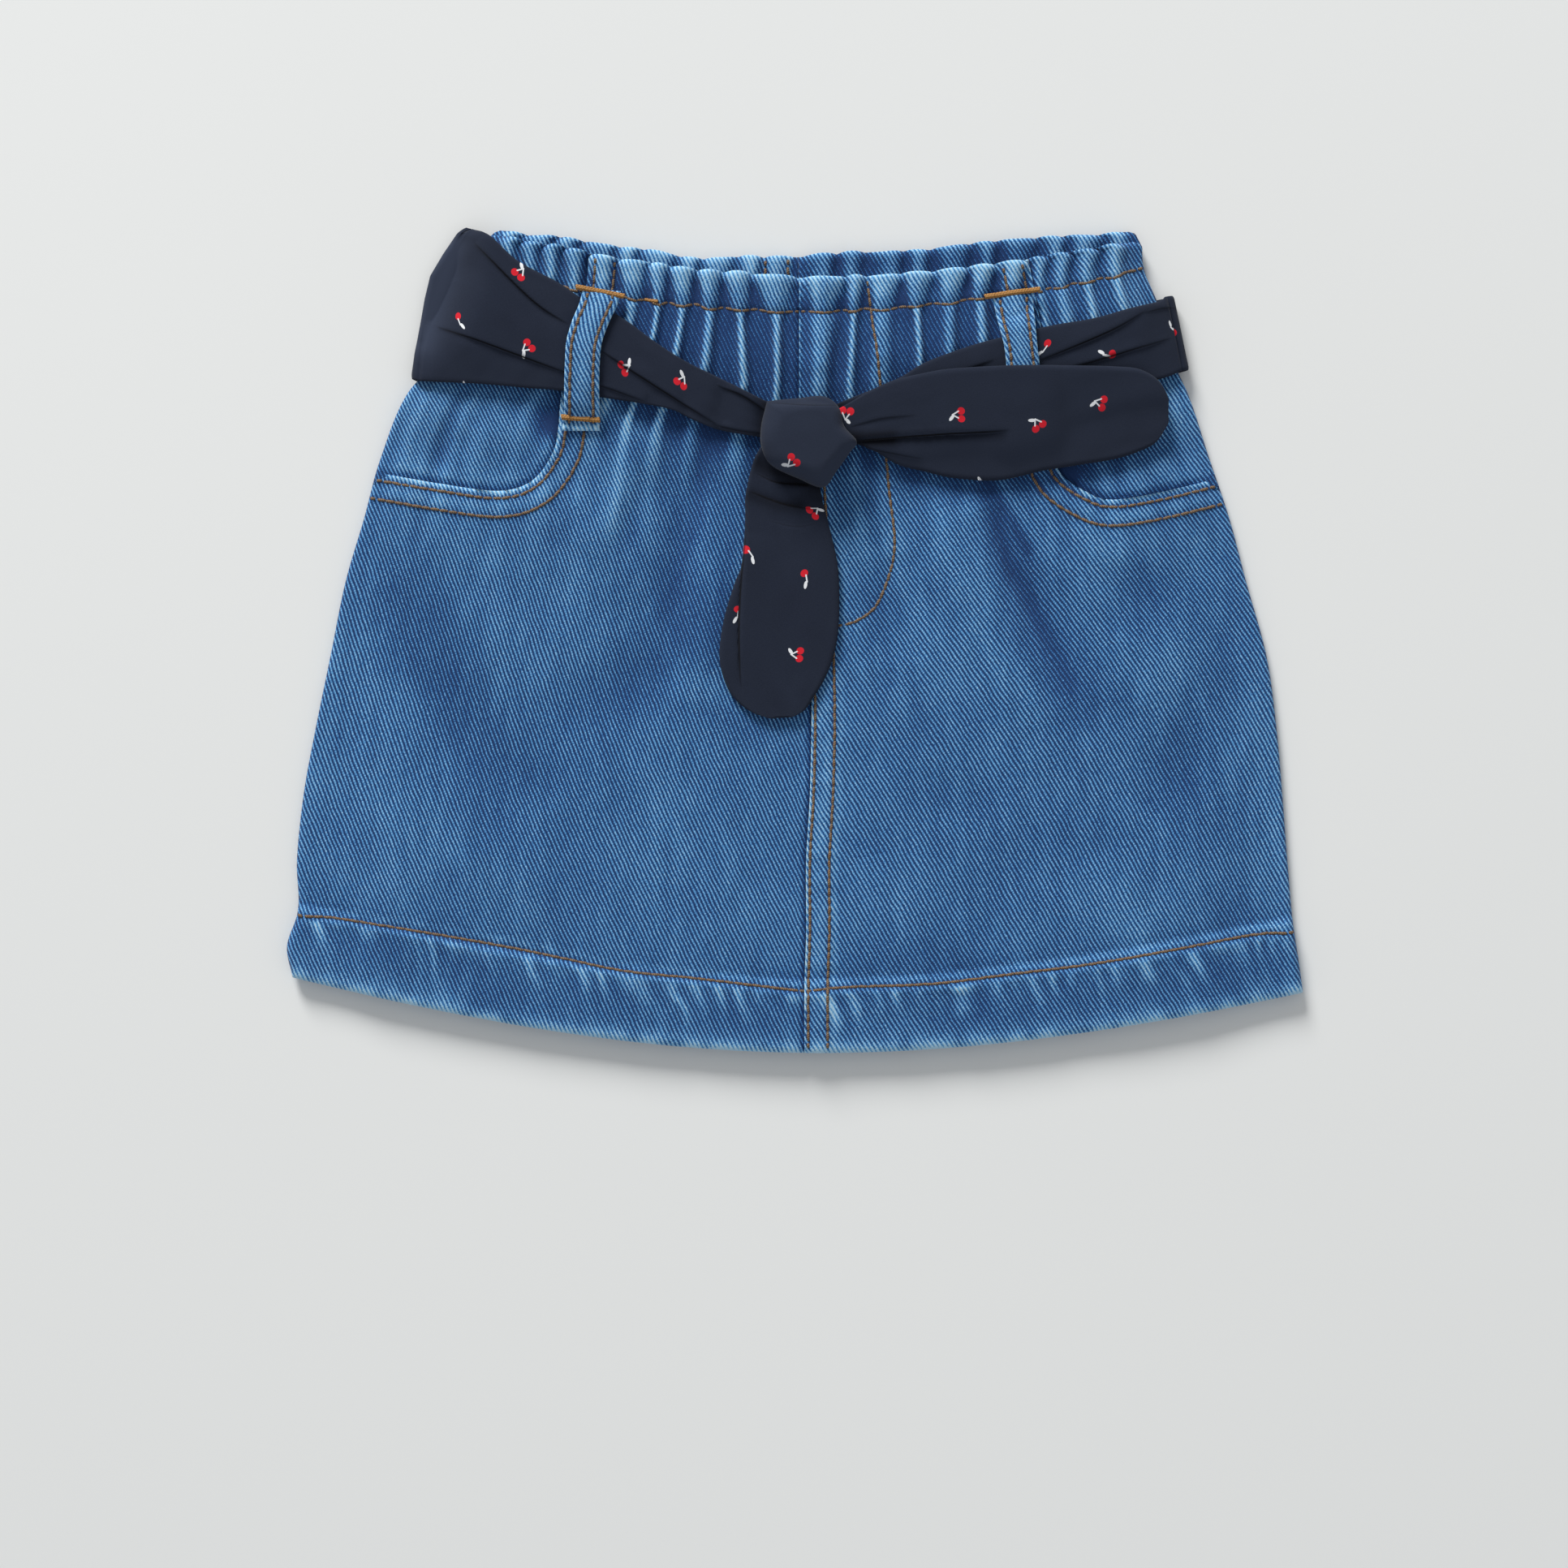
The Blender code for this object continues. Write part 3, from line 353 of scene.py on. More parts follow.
# Creases of the cotton: a bent line whose left side stands up, seen along the line, by its height
# and sinks back over its width
Crease = namedtuple("Crease", "place x0 y0 x1 y1 x2 y2 height width")
SASH_LEFT_CREASES = table(
    Crease,
    ("from the top corner", -90, 112, -74, 96, -64, 89, 1.1, 5),
    ("on to the knot", -56, 82.5, -41, 73, -21, 60.5, 1.0, 4),
    ("from the fold", -101, 88.7, -85, 83.2, -62, 74.6, 1.1, 6),
    ("past the loop", -58, 73, -50, 70.4, -42, 67.4, 0.7, 3),
    ("into the knot", -22, 72, -14.6, 69.2, -7, 64.2, 0.9, 3),
    ("low by the knot", -24, 61.5, -17, 59.8, -9, 58.6, 0.7, 2.5),
)
SASH_RIGHT_CREASES = table(
    Crease,
    ("from under the loop", 68, 78.6, 88.4, 87.2, 98.6, 92.8, 1.0, 4),
    ("above the tail", 76, 76.4, 90, 80.6, 106, 85.4, 0.9, 3.5),
    ("under the top corner", 98, 92, 103.5, 93.8, 110, 94.2, 0.6, 2.5),
    ("from the knot", 24, 69, 38, 73, 56, 79, 0.8, 3.5),
)
TAIL_RIGHT_CREASES = table(
    Crease,
    ("from the knot", 15, 56.6, 41.5, 58.6, 60, 59.2, 1.5, 4.5),
    ("above it", 15, 60, 24, 62.6, 34, 63.4, 0.5, 3),
    ("below it", 15, 55.2, 24, 53.8, 36, 51.6, 0.6, 2.5),
)
TAIL_DOWN_CREASES = table(
    Crease,
    ("edge of the upper layer", -13.6, 30, -15.1, 6, -15, -13, 1.3, 5),
    ("under the knot", 4, 43.6, -5, 44, -11, 47, 0.7, 2),
    ("across the top", 5, 36.5, -4, 38.2, -13, 42, 0.6, 2.4),
    ("low wrinkle", 6, 32.6, 0, 31.8, -7, 33.4, 0.35, 2),
)
KNOT_CREASES = (Crease("under the front turn's upper edge", 13, 65.6, 4, 65.4, -7.5, 66.4, 0.5, 3),)

# The knot: its outline seen from above
KNOT_OUTLINE = table(
    Point,
    (-7.9, 67.2), (-9.5, 60.5), (-9.5, 54.3), (-6.8, 49.2), (0.8, 45.5), (7.9, 43), (11.6, 47.4),
    (15.5, 52.7), (17.4, 55.7), (13.9, 60), (12.3, 65.3), (7.9, 68.5), (0.1, 68.1),
)
# Its rim's height over what it is tied round, its crown's over the rim, and the foot's thickness
KNOT_HEIGHT = 1.1
KNOT_RIM = 5.4
KNOT_FOOT = 0.8
# The share of its radius over which the rim rounds down
KNOT_ROUNDING = 0.36
# The knot's front turn ends at this level, and the turn behind it is lower by this much
KNOT_TURN_Y = 66.0
KNOT_BEHIND = 0.8
KNOT_SEGMENTS = 120
# How many times the outline is softened for the rings further in
KNOT_SOFTENING = 150
# Its rings, as shares of the outline: those of the underside, and those of the rim and the top
KNOT_UNDER = (0.15, 0.4, 0.65, 0.85, 0.95)
KNOT_OVER = (1, 0.985, 0.96, 0.93, 0.9) + tuple(np.linspace(0.86, 0.04, 30))
# Painted light: how much paler the knot is drawn all over
KNOT_PALER = 0.25

# Cotton bridges the gathers under it in curves of this radius, by no more than this height
BRIDGE_RADIUS = 50.0
MOST_BRIDGE = 0.7
BRIDGE_SOFTENING = 14
# How much paler the cotton is drawn where it slopes this way, away from the key light
LIFT = 1.3
LIFT_WAY = (0.3, -0.95)
# How far from a crease of the cotton its line of painted shade shows
CREASE_REACH = 1.8

# Least height of the sash's folds at the sides, and how far it reaches in under the skirt there
LEAST_FOLD_HEIGHT = 3.0
UNDER_REACH = 12.0

# Painted shadows and shade, and paler places, each along a bent line: how wide it is and how dark, pale under
# 0
Shade = namedtuple("Shade", "place x0 y0 x1 y1 x2 y2 width dark")
SHADES = table(
    Shade,
    ("shadow of the sash's left end", -98, 72, -84, 71, -66, 70, 3, 0.15),
    ("left edge below the sash", -108, 76, -109, 68, -112, 58, 5, -0.2),
    ("right of the left loop", -51, 65, -48, 62.5, -45, 60, 3.5, -0.6),
    ("shadow of the sash on the left", -45, 64, -30, 61, -12, 56, 4, 0.35),
    ("shadow of the right tail", 16, 53, 37, 46, 52, 43, 4, 0.45),
    ("shadow of the tail's end", 62, 44, 82, 48, 103, 54, 3.5, 0.4),
    ("shadow left of the tail", -13, 50, -18, 22, -23, -8, 3, 0.35),
    ("hollow left of the tail", -24, 56, -26, 25, -26, 0, 7, 0.36),
    ("washed below the left loop", -50, 40, -58, 20, -70, -5, 12, -0.14),
    ("hollow in the middle left", -24, 4, -36, -8, -52, -20, 9, 0.12),
    ("hollow above the washed part", -50, -16, -30, -20, -12, -27, 5, 0.14),
    ("left side edge", -131, -2, -134, -30, -138, -62, 7, -0.14),
    ("left thigh", -90, -50, -80, -60, -72, -70, 9, 0.13),
    ("washed left of the centre", -30, -50, -20, -65, -22, -88, 14, -0.13),
    ("washed right of the tail", 13, 28, 13, 16, 13, 4, 4, -0.2),
    ("washed right of the fly", 35, 34, 35, 10, 46, -15, 8, -0.2),
    ("right crease", 57, 38, 62, 6, 80, -20, 9, 0.18),
    ("line of the right crease", 54, 47, 59, 38, 66, 26, 2.0, 0.5),
    ("pale side of the right crease", 59, 45, 64, 36, 71, 25, 2.5, -0.2),
    ("band of the right pocket", 79, 43.5, 92, 42, 105, 46, 3, 0.25),
    ("end of the right pocket's seam", 68.3, 45.5, 69.4, 43.4, 70.6, 41.3, 0.8, 1.1),
    ("below the right crease", 58, 3, 68, -4, 78, -14, 6, 0.13),
    ("under the right pocket", 78, 41, 94, 36, 112, 39, 6, 0.16),
    ("hollow on the right hip", 97, 14, 96, 0, 90, -14, 7, 0.18),
    ("right hip", 107, -8, 111, -18, 121, -32, 8, -0.1),
    ("right side edge", 131, -5, 134, -40, 136, -75, 7, -0.13),
    ("washed right of the seam", 12, -48, 12, -54, 13, -62, 5, -0.12),
    ("right thigh", 66, -56, 84, -56, 98, -66, 8, 0.1),
    ("low on the right thigh", 80, -68, 84, -72, 88, -76, 5, 0.12),
    ("middle of the hem", 8, -91, 26, -91, 50, -92, 9, 0.16),
    ("middle of the hem's edge", -4, -99, 12, -100, 30, -99, 5, 0.16),
    ("left end of the hem", -135, -90, -120, -97, -100, -102, 6, -0.17),
    ("right end above the hem", 126, -76, 132, -81, 137, -86, 6, 0.16),
    ("right part of the hem", 88, -91, 100, -89, 112, -88, 6, 0.12),
)
BACK_SHADES = table(
    Shade,
    ("right half of the heading", 8, 107, 40, 107.5, 66, 109, 3, 0.5),
    ("right end of the heading", 50, 108, 60, 109, 70, 111, 3, 0.1),
    ("left half of the heading", -48, 110, -30, 108, -10, 107, 4, -0.33),
)
TAIL_DOWN_SHADES = table(
    Shade,
    ("under the knot's edge", -10, 50.5, -2, 46.5, 8, 42, 3.0, 0.9),
    ("hollow below it", -12, 41, -5, 38.4, 1, 38, 2.2, 0.6),
)
TAIL_RIGHT_SHADES = table(
    Shade,
    ("beside the knot", 14, 57, 20, 56, 27, 56.5, 2.0, 0.8),
    ("under the upper layer", 16, 57, 36, 57.4, 58, 57.6, 1.6, 0.4),
)
SASH_LEFT_SHADES = table(
    Shade,
    ("beside the knot", -9, 58, -9, 62, -8.5, 66, 2.0, 0.7),
    ("slope by the side fold", -97, 111, -102, 97, -105.5, 84, 4.5, -0.9),
)
SASH_RIGHT_SHADES = (Shade("beside the knot", 13, 58, 13, 62, 12.5, 66, 1.8, 0.7),)

# Bars of close stitches that hold the loops and the pockets: each end of the bar, and its width
Bar = namedtuple("Bar", "place x0 y0 x1 y1 width")
HEADING_BARS = table(
    Bar,
    ("left loop's top", -61.5, 99.1, -48.2, 96.6, 1.5),
    ("right loop's top", 53.6, 96.6, 68.9, 98.7, 1.5),
    ("end of the left loop's thread", -42.4, 96.3, -38.8, 95.5, 0.9),
)
LOOP_BARS = (Bar("left loop's foot", -65.8, 62.9, -55.2, 62.1, 1.7),)

# The wall's thickness at the outermost points of a free edge, as shares of the full one
TAPER = (0.35, 0.72, 0.93)
# Rounding of the side edges, as shares of the radius where a column of points stands,
# and the flat beside a centre seam
EDGE_SHARES = (0.02, 0.1, 0.25, 0.45, 0.7)
SEAM_FLAT = 1.4

# The grain of each panel leans out with its side edge, less at the waist and by the centre seam,
# and takes this share of the gathers' height
GRAIN_LEAN = math.radians(9)
LEAST_LEAN = 0.4
HEM_LEAN = 0.5
GATHER_STRETCH = 0.3

# Where the photograph was taken from
VIEW_X = -3.1
VIEW_Y = -40.7
VIEW_WIDTH = 444.4
VIEW_LENS = 85.0
SENSOR = 36.0
VIEW_LEVEL = 4.0


# Smooth curves and uneven heights

def smooth(stations, values, at):
    """Values on a cubic through the stations, with slopes taken from the neighbours."""
    stations = np.asarray(stations, float)
    values = np.asarray(values, float)
    step = np.diff(stations)
    rise = np.diff(values) / step
    slope = np.concatenate([rise[:1], rise, rise[-1:]])
    before, after = slope[:-1], slope[1:]
    slope = (before + after) / 2
    span = np.clip(np.searchsorted(stations, at, side="right") - 1, 0, len(step) - 1)
    width = step[span]
    t = (at - stations[span]) / width
    start = (2 * t**3 - 3 * t**2 + 1) * values[span] + (t**3 - 2 * t**2 + t) * width * slope[span]
    end = (3 * t**2 - 2 * t**3) * values[span + 1] + (t**3 - t**2) * width * slope[span + 1]
    return start + end


def read_table(table, at):
    """The second column of a table at these places in its first, on a smooth curve."""
    return smooth([row[0] for row in table], [row[1] for row in table], at)


def ease(value, start, end):
    """0 before start, 1 after end, and a soft step between."""
    t = np.clip((np.asarray(value, float) - start) / (end - start), 0, 1)
    return t * t * (3 - 2 * t)


def bump(value, centre, width):
    """1 at the centre and a soft fall to 0 on both sides."""
    return np.exp(-(((value - centre) / width) ** 2))


def hill(phase):
    """0 at each whole number and 1 halfway between them, in soft waves."""
    return 0.5 - 0.5 * np.cos(2 * math.pi * phase)


def uneven(x, y, size_x, size_y, seed):
    """Smooth random heights from -1 to 1, on a net of this spacing."""
    heights = np.random.default_rng(seed).uniform(-1, 1, (97, 97))
    across, up = x / size_x + 48.3, y / size_y + 48.7
    column, row = np.floor(across).astype(int) % 96, np.floor(up).astype(int) % 96
    share_x, share_y = ease(across % 1, 0, 1), ease(up % 1, 0, 1)
    low = heights[row, column] * (1 - share_x) + heights[row, column + 1] * share_x
    high = heights[row + 1, column] * (1 - share_x) + heights[row + 1, column + 1] * share_x
    return low * (1 - share_y) + high * share_y


def row_value(name, down):
    """A column of the rows' table at this distance down, with the heading's corners rounded."""
    value = smooth([row.down for row in ROWS], [getattr(row, name) for row in ROWS], down)
    if name in ("left_x", "right_x"):
        rise = np.clip(1 - np.asarray(down) / CORNER_RADIUS, 0, 1)
        cut = CORNER_RADIUS * (1 - np.sqrt(1 - rise**2))
        value += cut if name == "left_x" else -cut
    return value


def side_edge(side, axis, down):
    """x or y of the skirt's left or right edge."""
    return row_value(("left_" if side < 0 else "right_") + axis, down)


def bent_line(row):
    """A table row's line as a route of three points."""
    return (row.x0, row.x1, row.x2), (row.y0, row.y1, row.y2)


def route_distance(x, y, route_x, route_y):
    """Distance to a route, over 0 on its left, and the distance along it, for each point."""
    x, y = np.asarray(x, float), np.asarray(y, float)
    nearest = np.full(x.shape, 1e9)
    signed = np.zeros(x.shape)
    along = np.zeros(x.shape)
    gone = 0.0
    for k in range(len(route_x) - 1):
        run_x, run_y = route_x[k + 1] - route_x[k], route_y[k + 1] - route_y[k]
        length = math.hypot(run_x, run_y)
        away_x, away_y = x - route_x[k], y - route_y[k]
        t = np.clip((away_x * run_x + away_y * run_y) / length**2, 0, 1)
        distance = np.hypot(away_x - t * run_x, away_y - t * run_y)
        closer = distance < nearest
        nearest = np.where(closer, distance, nearest)
        side = np.where(run_x * away_y - run_y * away_x < 0, -1, 1)
        signed = np.where(closer, side * distance, signed)
        along = np.where(closer, gone + t * length, along)
        gone += length
    return signed, along


def distances(points):
    """How far along a route each of its points is."""
    return np.concatenate([[0], np.cumsum(np.linalg.norm(np.diff(points, axis=0), axis=1))])


def offset_route(points, offset, steps=5):
    """A smooth route through the points, moved to its left by the offset."""
    count = np.arange(len(points))
    at = np.linspace(0, count[-1], steps * count[-1] + 1)
    x = smooth(count, [point.x for point in points], at)
    y = smooth(count, [point.y for point in points], at)
    run_x, run_y = np.gradient(x), np.gradient(y)
    length = np.hypot(run_x, run_y)
    return x - offset * run_y / length, y + offset * run_x / length


# The denim tube

def wall_at(down):
    heading = HEADING_WALL + (BODY_WALL - HEADING_WALL) * ease(down, 24, 32)
    return heading + (HEM_WALL - BODY_WALL) * ease(down, HEM_DOWN - 1, HEM_DOWN + 1)


def row_bend(across):
    """How far a row has come up from its middle: 0 at the middle, 1 at the side edges."""
    return (np.sqrt(1 + (2 * across - 1) ** 2) - 1) / (math.sqrt(2) - 1)


def row_y(x, down, is_front):
    """y of the cloth this far down the centre front, at each x."""
    left_x, right_x = row_value("left_x", down), row_value("right_x", down)
    across = (x - left_x) / (right_x - left_x)
    left_y, right_y = row_value("left_y", down), row_value("right_y", down)
    bow = (left_y + right_y) / 2 - (TOP_EDGE_Y - down)
    if not is_front:
        share_down = ease(down, 0, LENGTH)
        bow -= BACK_HIGHER * (1 - share_down) + BACK_SHORTER * share_down
    return left_y + (right_y - left_y) * across - bow * (1 - row_bend(across))


def wave_size(sizes, down, reach):
    """Half the height of a gather at this distance down."""
    edge, nip, below = sizes
    heading = edge + (nip - edge) * np.clip(down / CASING_DOWN, 0, 1) ** 1.3
    body = nip + (below - nip) * ease(down, CASING_DOWN, CASING_DOWN + 8)
    fade = 1 - ease(down, CASING_DOWN + 0.3 * reach, CASING_DOWN + reach)
    return np.where(down < CASING_DOWN, heading, body * fade)


def gathers_of(side):
    return LEFT_GATHERS if side < 0 else RIGHT_GATHERS


def gather_value(side, column, number):
    """A column of the gathers' table, for the gathers with these numbers."""
    return np.array([getattr(gather, column) for gather in gathers_of(side)])[number]


def gather_shares(side):
    """The share of each front gather's valley, from 0 at the side edge to 1 at the centre seam."""
    edge = side_edge(side, "x", CASING_DOWN)
    seam = row_value("seam_x", CASING_DOWN)
    flat = SEAM_FLAT / abs(seam - edge)
    return np.array([0] + [(1 - flat) * (gather.x - edge) / (seam - edge) for gather in gathers_of(side)])


def front_phase(side, share):
    shares = gather_shares(side)
    return np.interp(share, shares, np.arange(len(shares)))


def casing_line(side, share):
    """How far down the casing stitch runs: it dips on each crest, and near the right side edge."""
    dip = 0.9 * hill(front_phase(side, share))
    dip += 0.3 * uneven(share * 90, 0 * share, 5, 1, 9)
    if side > 0:
        dip += 0.9 * (1 - ease(share, 0.25, 0.4))
    return CASING_DOWN + (dip - 0.5) * side_ease(share)


def hem_line(side, share):
    """How far down the hem's stitches run."""
    return read_table(LEFT_HEM if side < 0 else RIGHT_HEM, share)


def hem_level(side, down, share):
    """How far down a point would be if the hem's stitches ran straight at HEM_DOWN."""
    line = hem_line(side, share)
    below = (down - line) * (LENGTH - HEM_DOWN) / (LENGTH - line)
    return HEM_DOWN + np.where(down > line, below, down - line)


def front_wall(side, down, share):
    return wall_at(hem_level(side, down, share))


def crest_shape(phase, down, thin):
    """0 in a gather's valley and 1 on its crest, which is as thin as it says just below the casing stitch."""
    power = CREST_EDGE + (CREST_NIP - CREST_EDGE) * ease(down, 0, CASING_DOWN)
    power += (thin - power) * ease(down, CASING_DOWN - 0.5, CASING_DOWN + 3)
    power += (CREST_LOW - power) * ease(down, 26, 52)
    return hill(phase) ** power


def front_crest(side, down, share):
    """The crests of the front, which lean: crest, place and number of the gather."""
    phase = front_phase(side, share)
    last = len(gathers_of(side))
    inner = ease(phase, 0, 1) * (1 - ease(phase, last - 1, last))
    lean = (UNEVEN_LEAN * uneven(phase, 0 * phase + 5 * side, 1.3, 1, 8) + EVEN_LEAN) * inner
    phase += GATHER_LEAN * lean * np.clip(down - CASING_DOWN, *LEAN_REACH) / 10
    number = np.clip(phase.astype(int), 0, last - 1)
    stitched = down - casing_line(side, share) + CASING_DOWN
    return crest_shape(phase, stitched, gather_value(side, "thin", number)), phase, number


def front_wave(side, down, share):
    """Height of the front gathers over their valleys."""
    gathers = gathers_of(side)
    crest, phase, number = front_crest(side, down, share)
    reach = np.interp(phase, np.arange(1, len(gathers) + 1), [gather.reach for gather in gathers])
    return wave_size(FRONT_WAVES, down, reach) * gather_value(side, "height", number) * 2 * crest


def back_phase(share):
    """Gathers of the back from the side edge to the flat beside the centre seam, a little uneven."""
    share = np.clip(share * BACK_SEAM_SHARE, 0, 1)
    return BACK_WAVE_COUNT / 2 * (share + 0.012 * np.sin(9 * math.pi * share))


def side_ease(share):
    return ease(share, 0, 0.07)


def back_height(down, share):
    """Middle of the back panels' wall."""
    wave = wave_size(BACK_WAVES, down, BACK_REACH) * side_ease(share)
    rise = RISE_OVER_SASH * (1 - ease(down, *RISE_ENDS))
    return rise + wall_at(down) / 2 + 2 * wave * crest_shape(back_phase(share), down, BACK_CREST)


def back_level(down, share):
    """The level that clears the back's gathers and hem, which lie up to 6 mm out of step with the front's."""
    rise = RISE_OVER_SASH * (1 - ease(down, *RISE_ENDS))
    wall = HEADING_WALL + (BODY_WALL - HEADING_WALL) * ease(down, 28, 40)
    wall += (HEM_WALL - BODY_WALL) * ease(down, HEM_DOWN - 5, HEM_DOWN - 2)
    wave = BACK_WAVES[0] * (1 - ease(down, CASING_DOWN + 0.3 * BACK_REACH, CASING_DOWN + BACK_REACH))
    return rise + wall + 2 * wave * side_ease(share)


def fold_height(x, y, fold):
    """A fold's height at each point, with a soft fall to 0 at its ends."""
    distance, along = route_distance(x, y, *bent_line(fold))
    first = math.hypot(fold.x1 - fold.x0, fold.y1 - fold.y0)
    second = math.hypot(fold.x2 - fold.x1, fold.y2 - fold.y1)
    share = np.where(along < first, along / first / 2, 0.5 + (along - first) / second / 2)
    return fold.height * np.sin(math.pi * np.clip(share, 0.02, 0.98)) ** 0.6 * bump(distance, 0, fold.width)


def fold_heights(x, y, folds):
    return sum(fold_height(x, y, fold) for fold in folds)


def front_lift(x, y, down, share):
    """How far the front stands clear of the back: its crown, its pocket bags and its folds."""
    crown = CROWN * ease(down, 30, 90) * (1 - 0.35 * ease(down, 180, LENGTH))
    folds = fold_heights(x, y, FOLDS)
    bag = POCKET_BAG * (1 - ease(share, 0.45, 0.8)) * (1 - ease(down, 72, 100))
    lift = (crown + folds * ease(down, 40, 60)) * ease(share, 0, 0.22) + bag * ease(share, 0, 0.05)
    return np.clip(lift, 0, MOST_LIFT)


def pocket_of(side):
    """The edge of a pocket's opening, taken on past the skirt's side edge."""
    points = LEFT_POCKET if side < 0 else RIGHT_POCKET
    before, last = points[-2:]
    return points + (Point(last.x + 0.3 * (last.x - before.x), last.y + 0.3 * (last.y - before.y)),)


def outside_pocket(side, x, y, steps=5):
    """How far outside a pocket's opening each point is, under 0 in it, and how far along its edge."""
    distance, along = route_distance(x, y, *offset_route(pocket_of(side), 0, steps))
    return -side * distance, along


def hem_ropes(x, down):
    """The slanting puckers that a turned hem's stitching pulls into it."""
    slanted = x - 0.45 * (down - HEM_DOWN)
    phase = slanted / 7.6 + 1.3 * uneven(x, 0 * x, 12, 1, 5) + 0.25 * uneven(x, down, 8, 5, 27)
    size = np.clip(0.5 + 0.6 * uneven(x, 0 * x, 6, 1, 6), 0.1, 1)
    share = np.clip((down - HEM_DOWN) / (LENGTH - HEM_DOWN), 0, 1)
    end = 0.34 + 0.22 * uneven(x, 0 * x, 9, 1, 28)
    fall = ease(share, 0, 0.1) * (1 - 0.9 * ease(share, end - 0.25, end + 0.3))
    return size * hill(phase) ** 1.8 * fall


def stitch_nip(distance, along, seed, depth=NIP, spread=2.4):
    """A row of stitches' groove, and the small puckers beside it."""
    groove = -depth * bump(distance, 0, 0.55)
    pucker = 0.55 * depth * uneven(along, distance, 2.6, 5, seed) * np.exp(-np.abs(distance) / spread)
    return groove + pucker


def front_detail(side, x, y, down, share):
    """What the finer front adds to the solid's form: seams, hem, stitch grooves, small folds."""
    still = ease(share, 0, 0.06)
    level = hem_level(side, down, share)
    seam_x = row_value("seam_x", down)
    from_seam = side * (x - seam_x)
    height = 0.16 * uneven(x, y, 9, 17, 2) + 0.07 * uneven(x, y, 3.2, 7, 3)
    height += fold_heights(x, y, SMALL_FOLDS) * ease(down, 30, 46)
    low_gathers = front_crest(side, down, share)[0] - 0.35
    fade = ease(down, 34, 44) * (1 - ease(down, 52, 96))
    height += 0.55 * low_gathers * fade * (0.7 + 0.7 * uneven(x, y, 16, 40, 4))
    if side > 0:
        height += LAP_HEIGHT * (1 - ease(from_seam, LAP_WIDTH - 0.6, LAP_WIDTH + 0.5))
        for row in LAP_ROWS:
            height += stitch_nip(from_seam - row, y, 11)
        fly, along = route_distance(x, y, *offset_route(FLY_ROW, 0))
        height += stitch_nip(fly, along, 12)
    else:
        height -= LAP_STEP * (1 - ease(from_seam, -LAP_UNDER, 1.3))
    outside, along = outside_pocket(side, x, y)
    band = (1 - ease(outside, POCKET_BAND - 0.5, POCKET_BAND + 0.7)) * ease(down, 2, 12)
    height += POCKET_BAND_HEIGHT * band
    for row in POCKET_ROWS:
        height += stitch_nip(outside - row, along, 13)
    height += stitch_nip(down - casing_line(side, share), x, 14, CASING_NIP)
    height += stitch_nip(level - HEM_DOWN, x, 15, HEM_NIP, 3.0)
    height = height + ROPE_HEIGHT * hem_ropes(x, level) - 0.2 * ease(level, HEM_DOWN, HEM_DOWN + 4)
    return height * still


def yoke_drop(side, x, y):
    """How far a pocket yoke lies under the front, deeper where it goes in under the turned edge."""
    outside, _ = outside_pocket(side, x, y)
    return YOKE_DROP + YOKE_TUCK * (1 - ease(-outside, -1.0, 3.0))


def panel_ends(is_front, side, down):
    """x where a panel starts inside its rounded side edge and ends by its seam, and that radius."""
    radius, _ = edge_roll(down)
    offset = side * (GAP if is_front else BACK_SEAM_GAP) / 2
    if is_front and side < 0:
        offset = LAP_UNDER
    return side_edge(side, "x", down) - side * radius, row_value("seam_x", down) + offset, radius


def panel_points(is_front, side, down, share, drop=0.0, detail=True):
    """Middle of a panel's wall where the cloth lies flat: x, y and z. down and share are arrays."""
    inner_x, seam_x, _ = panel_ends(is_front, side, down)
    x = inner_x + (seam_x - inner_x) * share
    y = row_y(x, down, is_front)
    if is_front:
        z = back_level(down, share) + GAP + front_wall(side, down, share) / 2 + front_lift(x, y, down, share)
        z += front_wave(side, down, share) * side_ease(share)
        crest, _, _ = front_crest(side, down, share)
        if detail:
            z += front_detail(side, x, y, down, share)
        if drop:
            z -= yoke_drop(side, x, y) * side_ease(share)
    else:
        z = back_height(down, share) + 0 * x
        crest = crest_shape(back_phase(share), down, BACK_CREST)
        rise = read_table(BACK_TOP, np.clip(x, BACK_TOP[0].x, BACK_TOP[-1].x))
        y += rise * (1 - ease(down, 0, BACK_TOP_REACH))
        if detail:
            z += np.maximum(0.1 * uneven(x, y, 6, 12, 7) * side_ease(share), -0.05)
    lip = SCALLOP * (crest - 0.6) + LIP_UNEVEN * uneven(x, 0 * x, 6.5, 1, 25)
    y += lip * (1 - ease(down, 0, CASING_DOWN)) * side_ease(share)
    return x, y, z


def edge_roll(down):
    """Radius and middle height of the rounded side edge, where front and back close up."""
    none = np.zeros_like(down)
    low = back_height(down, none) - wall_at(down) / 2
    high = back_level(down, none) + GAP + wall_at(down)
    return (high - low) / 2, (high + low) / 2


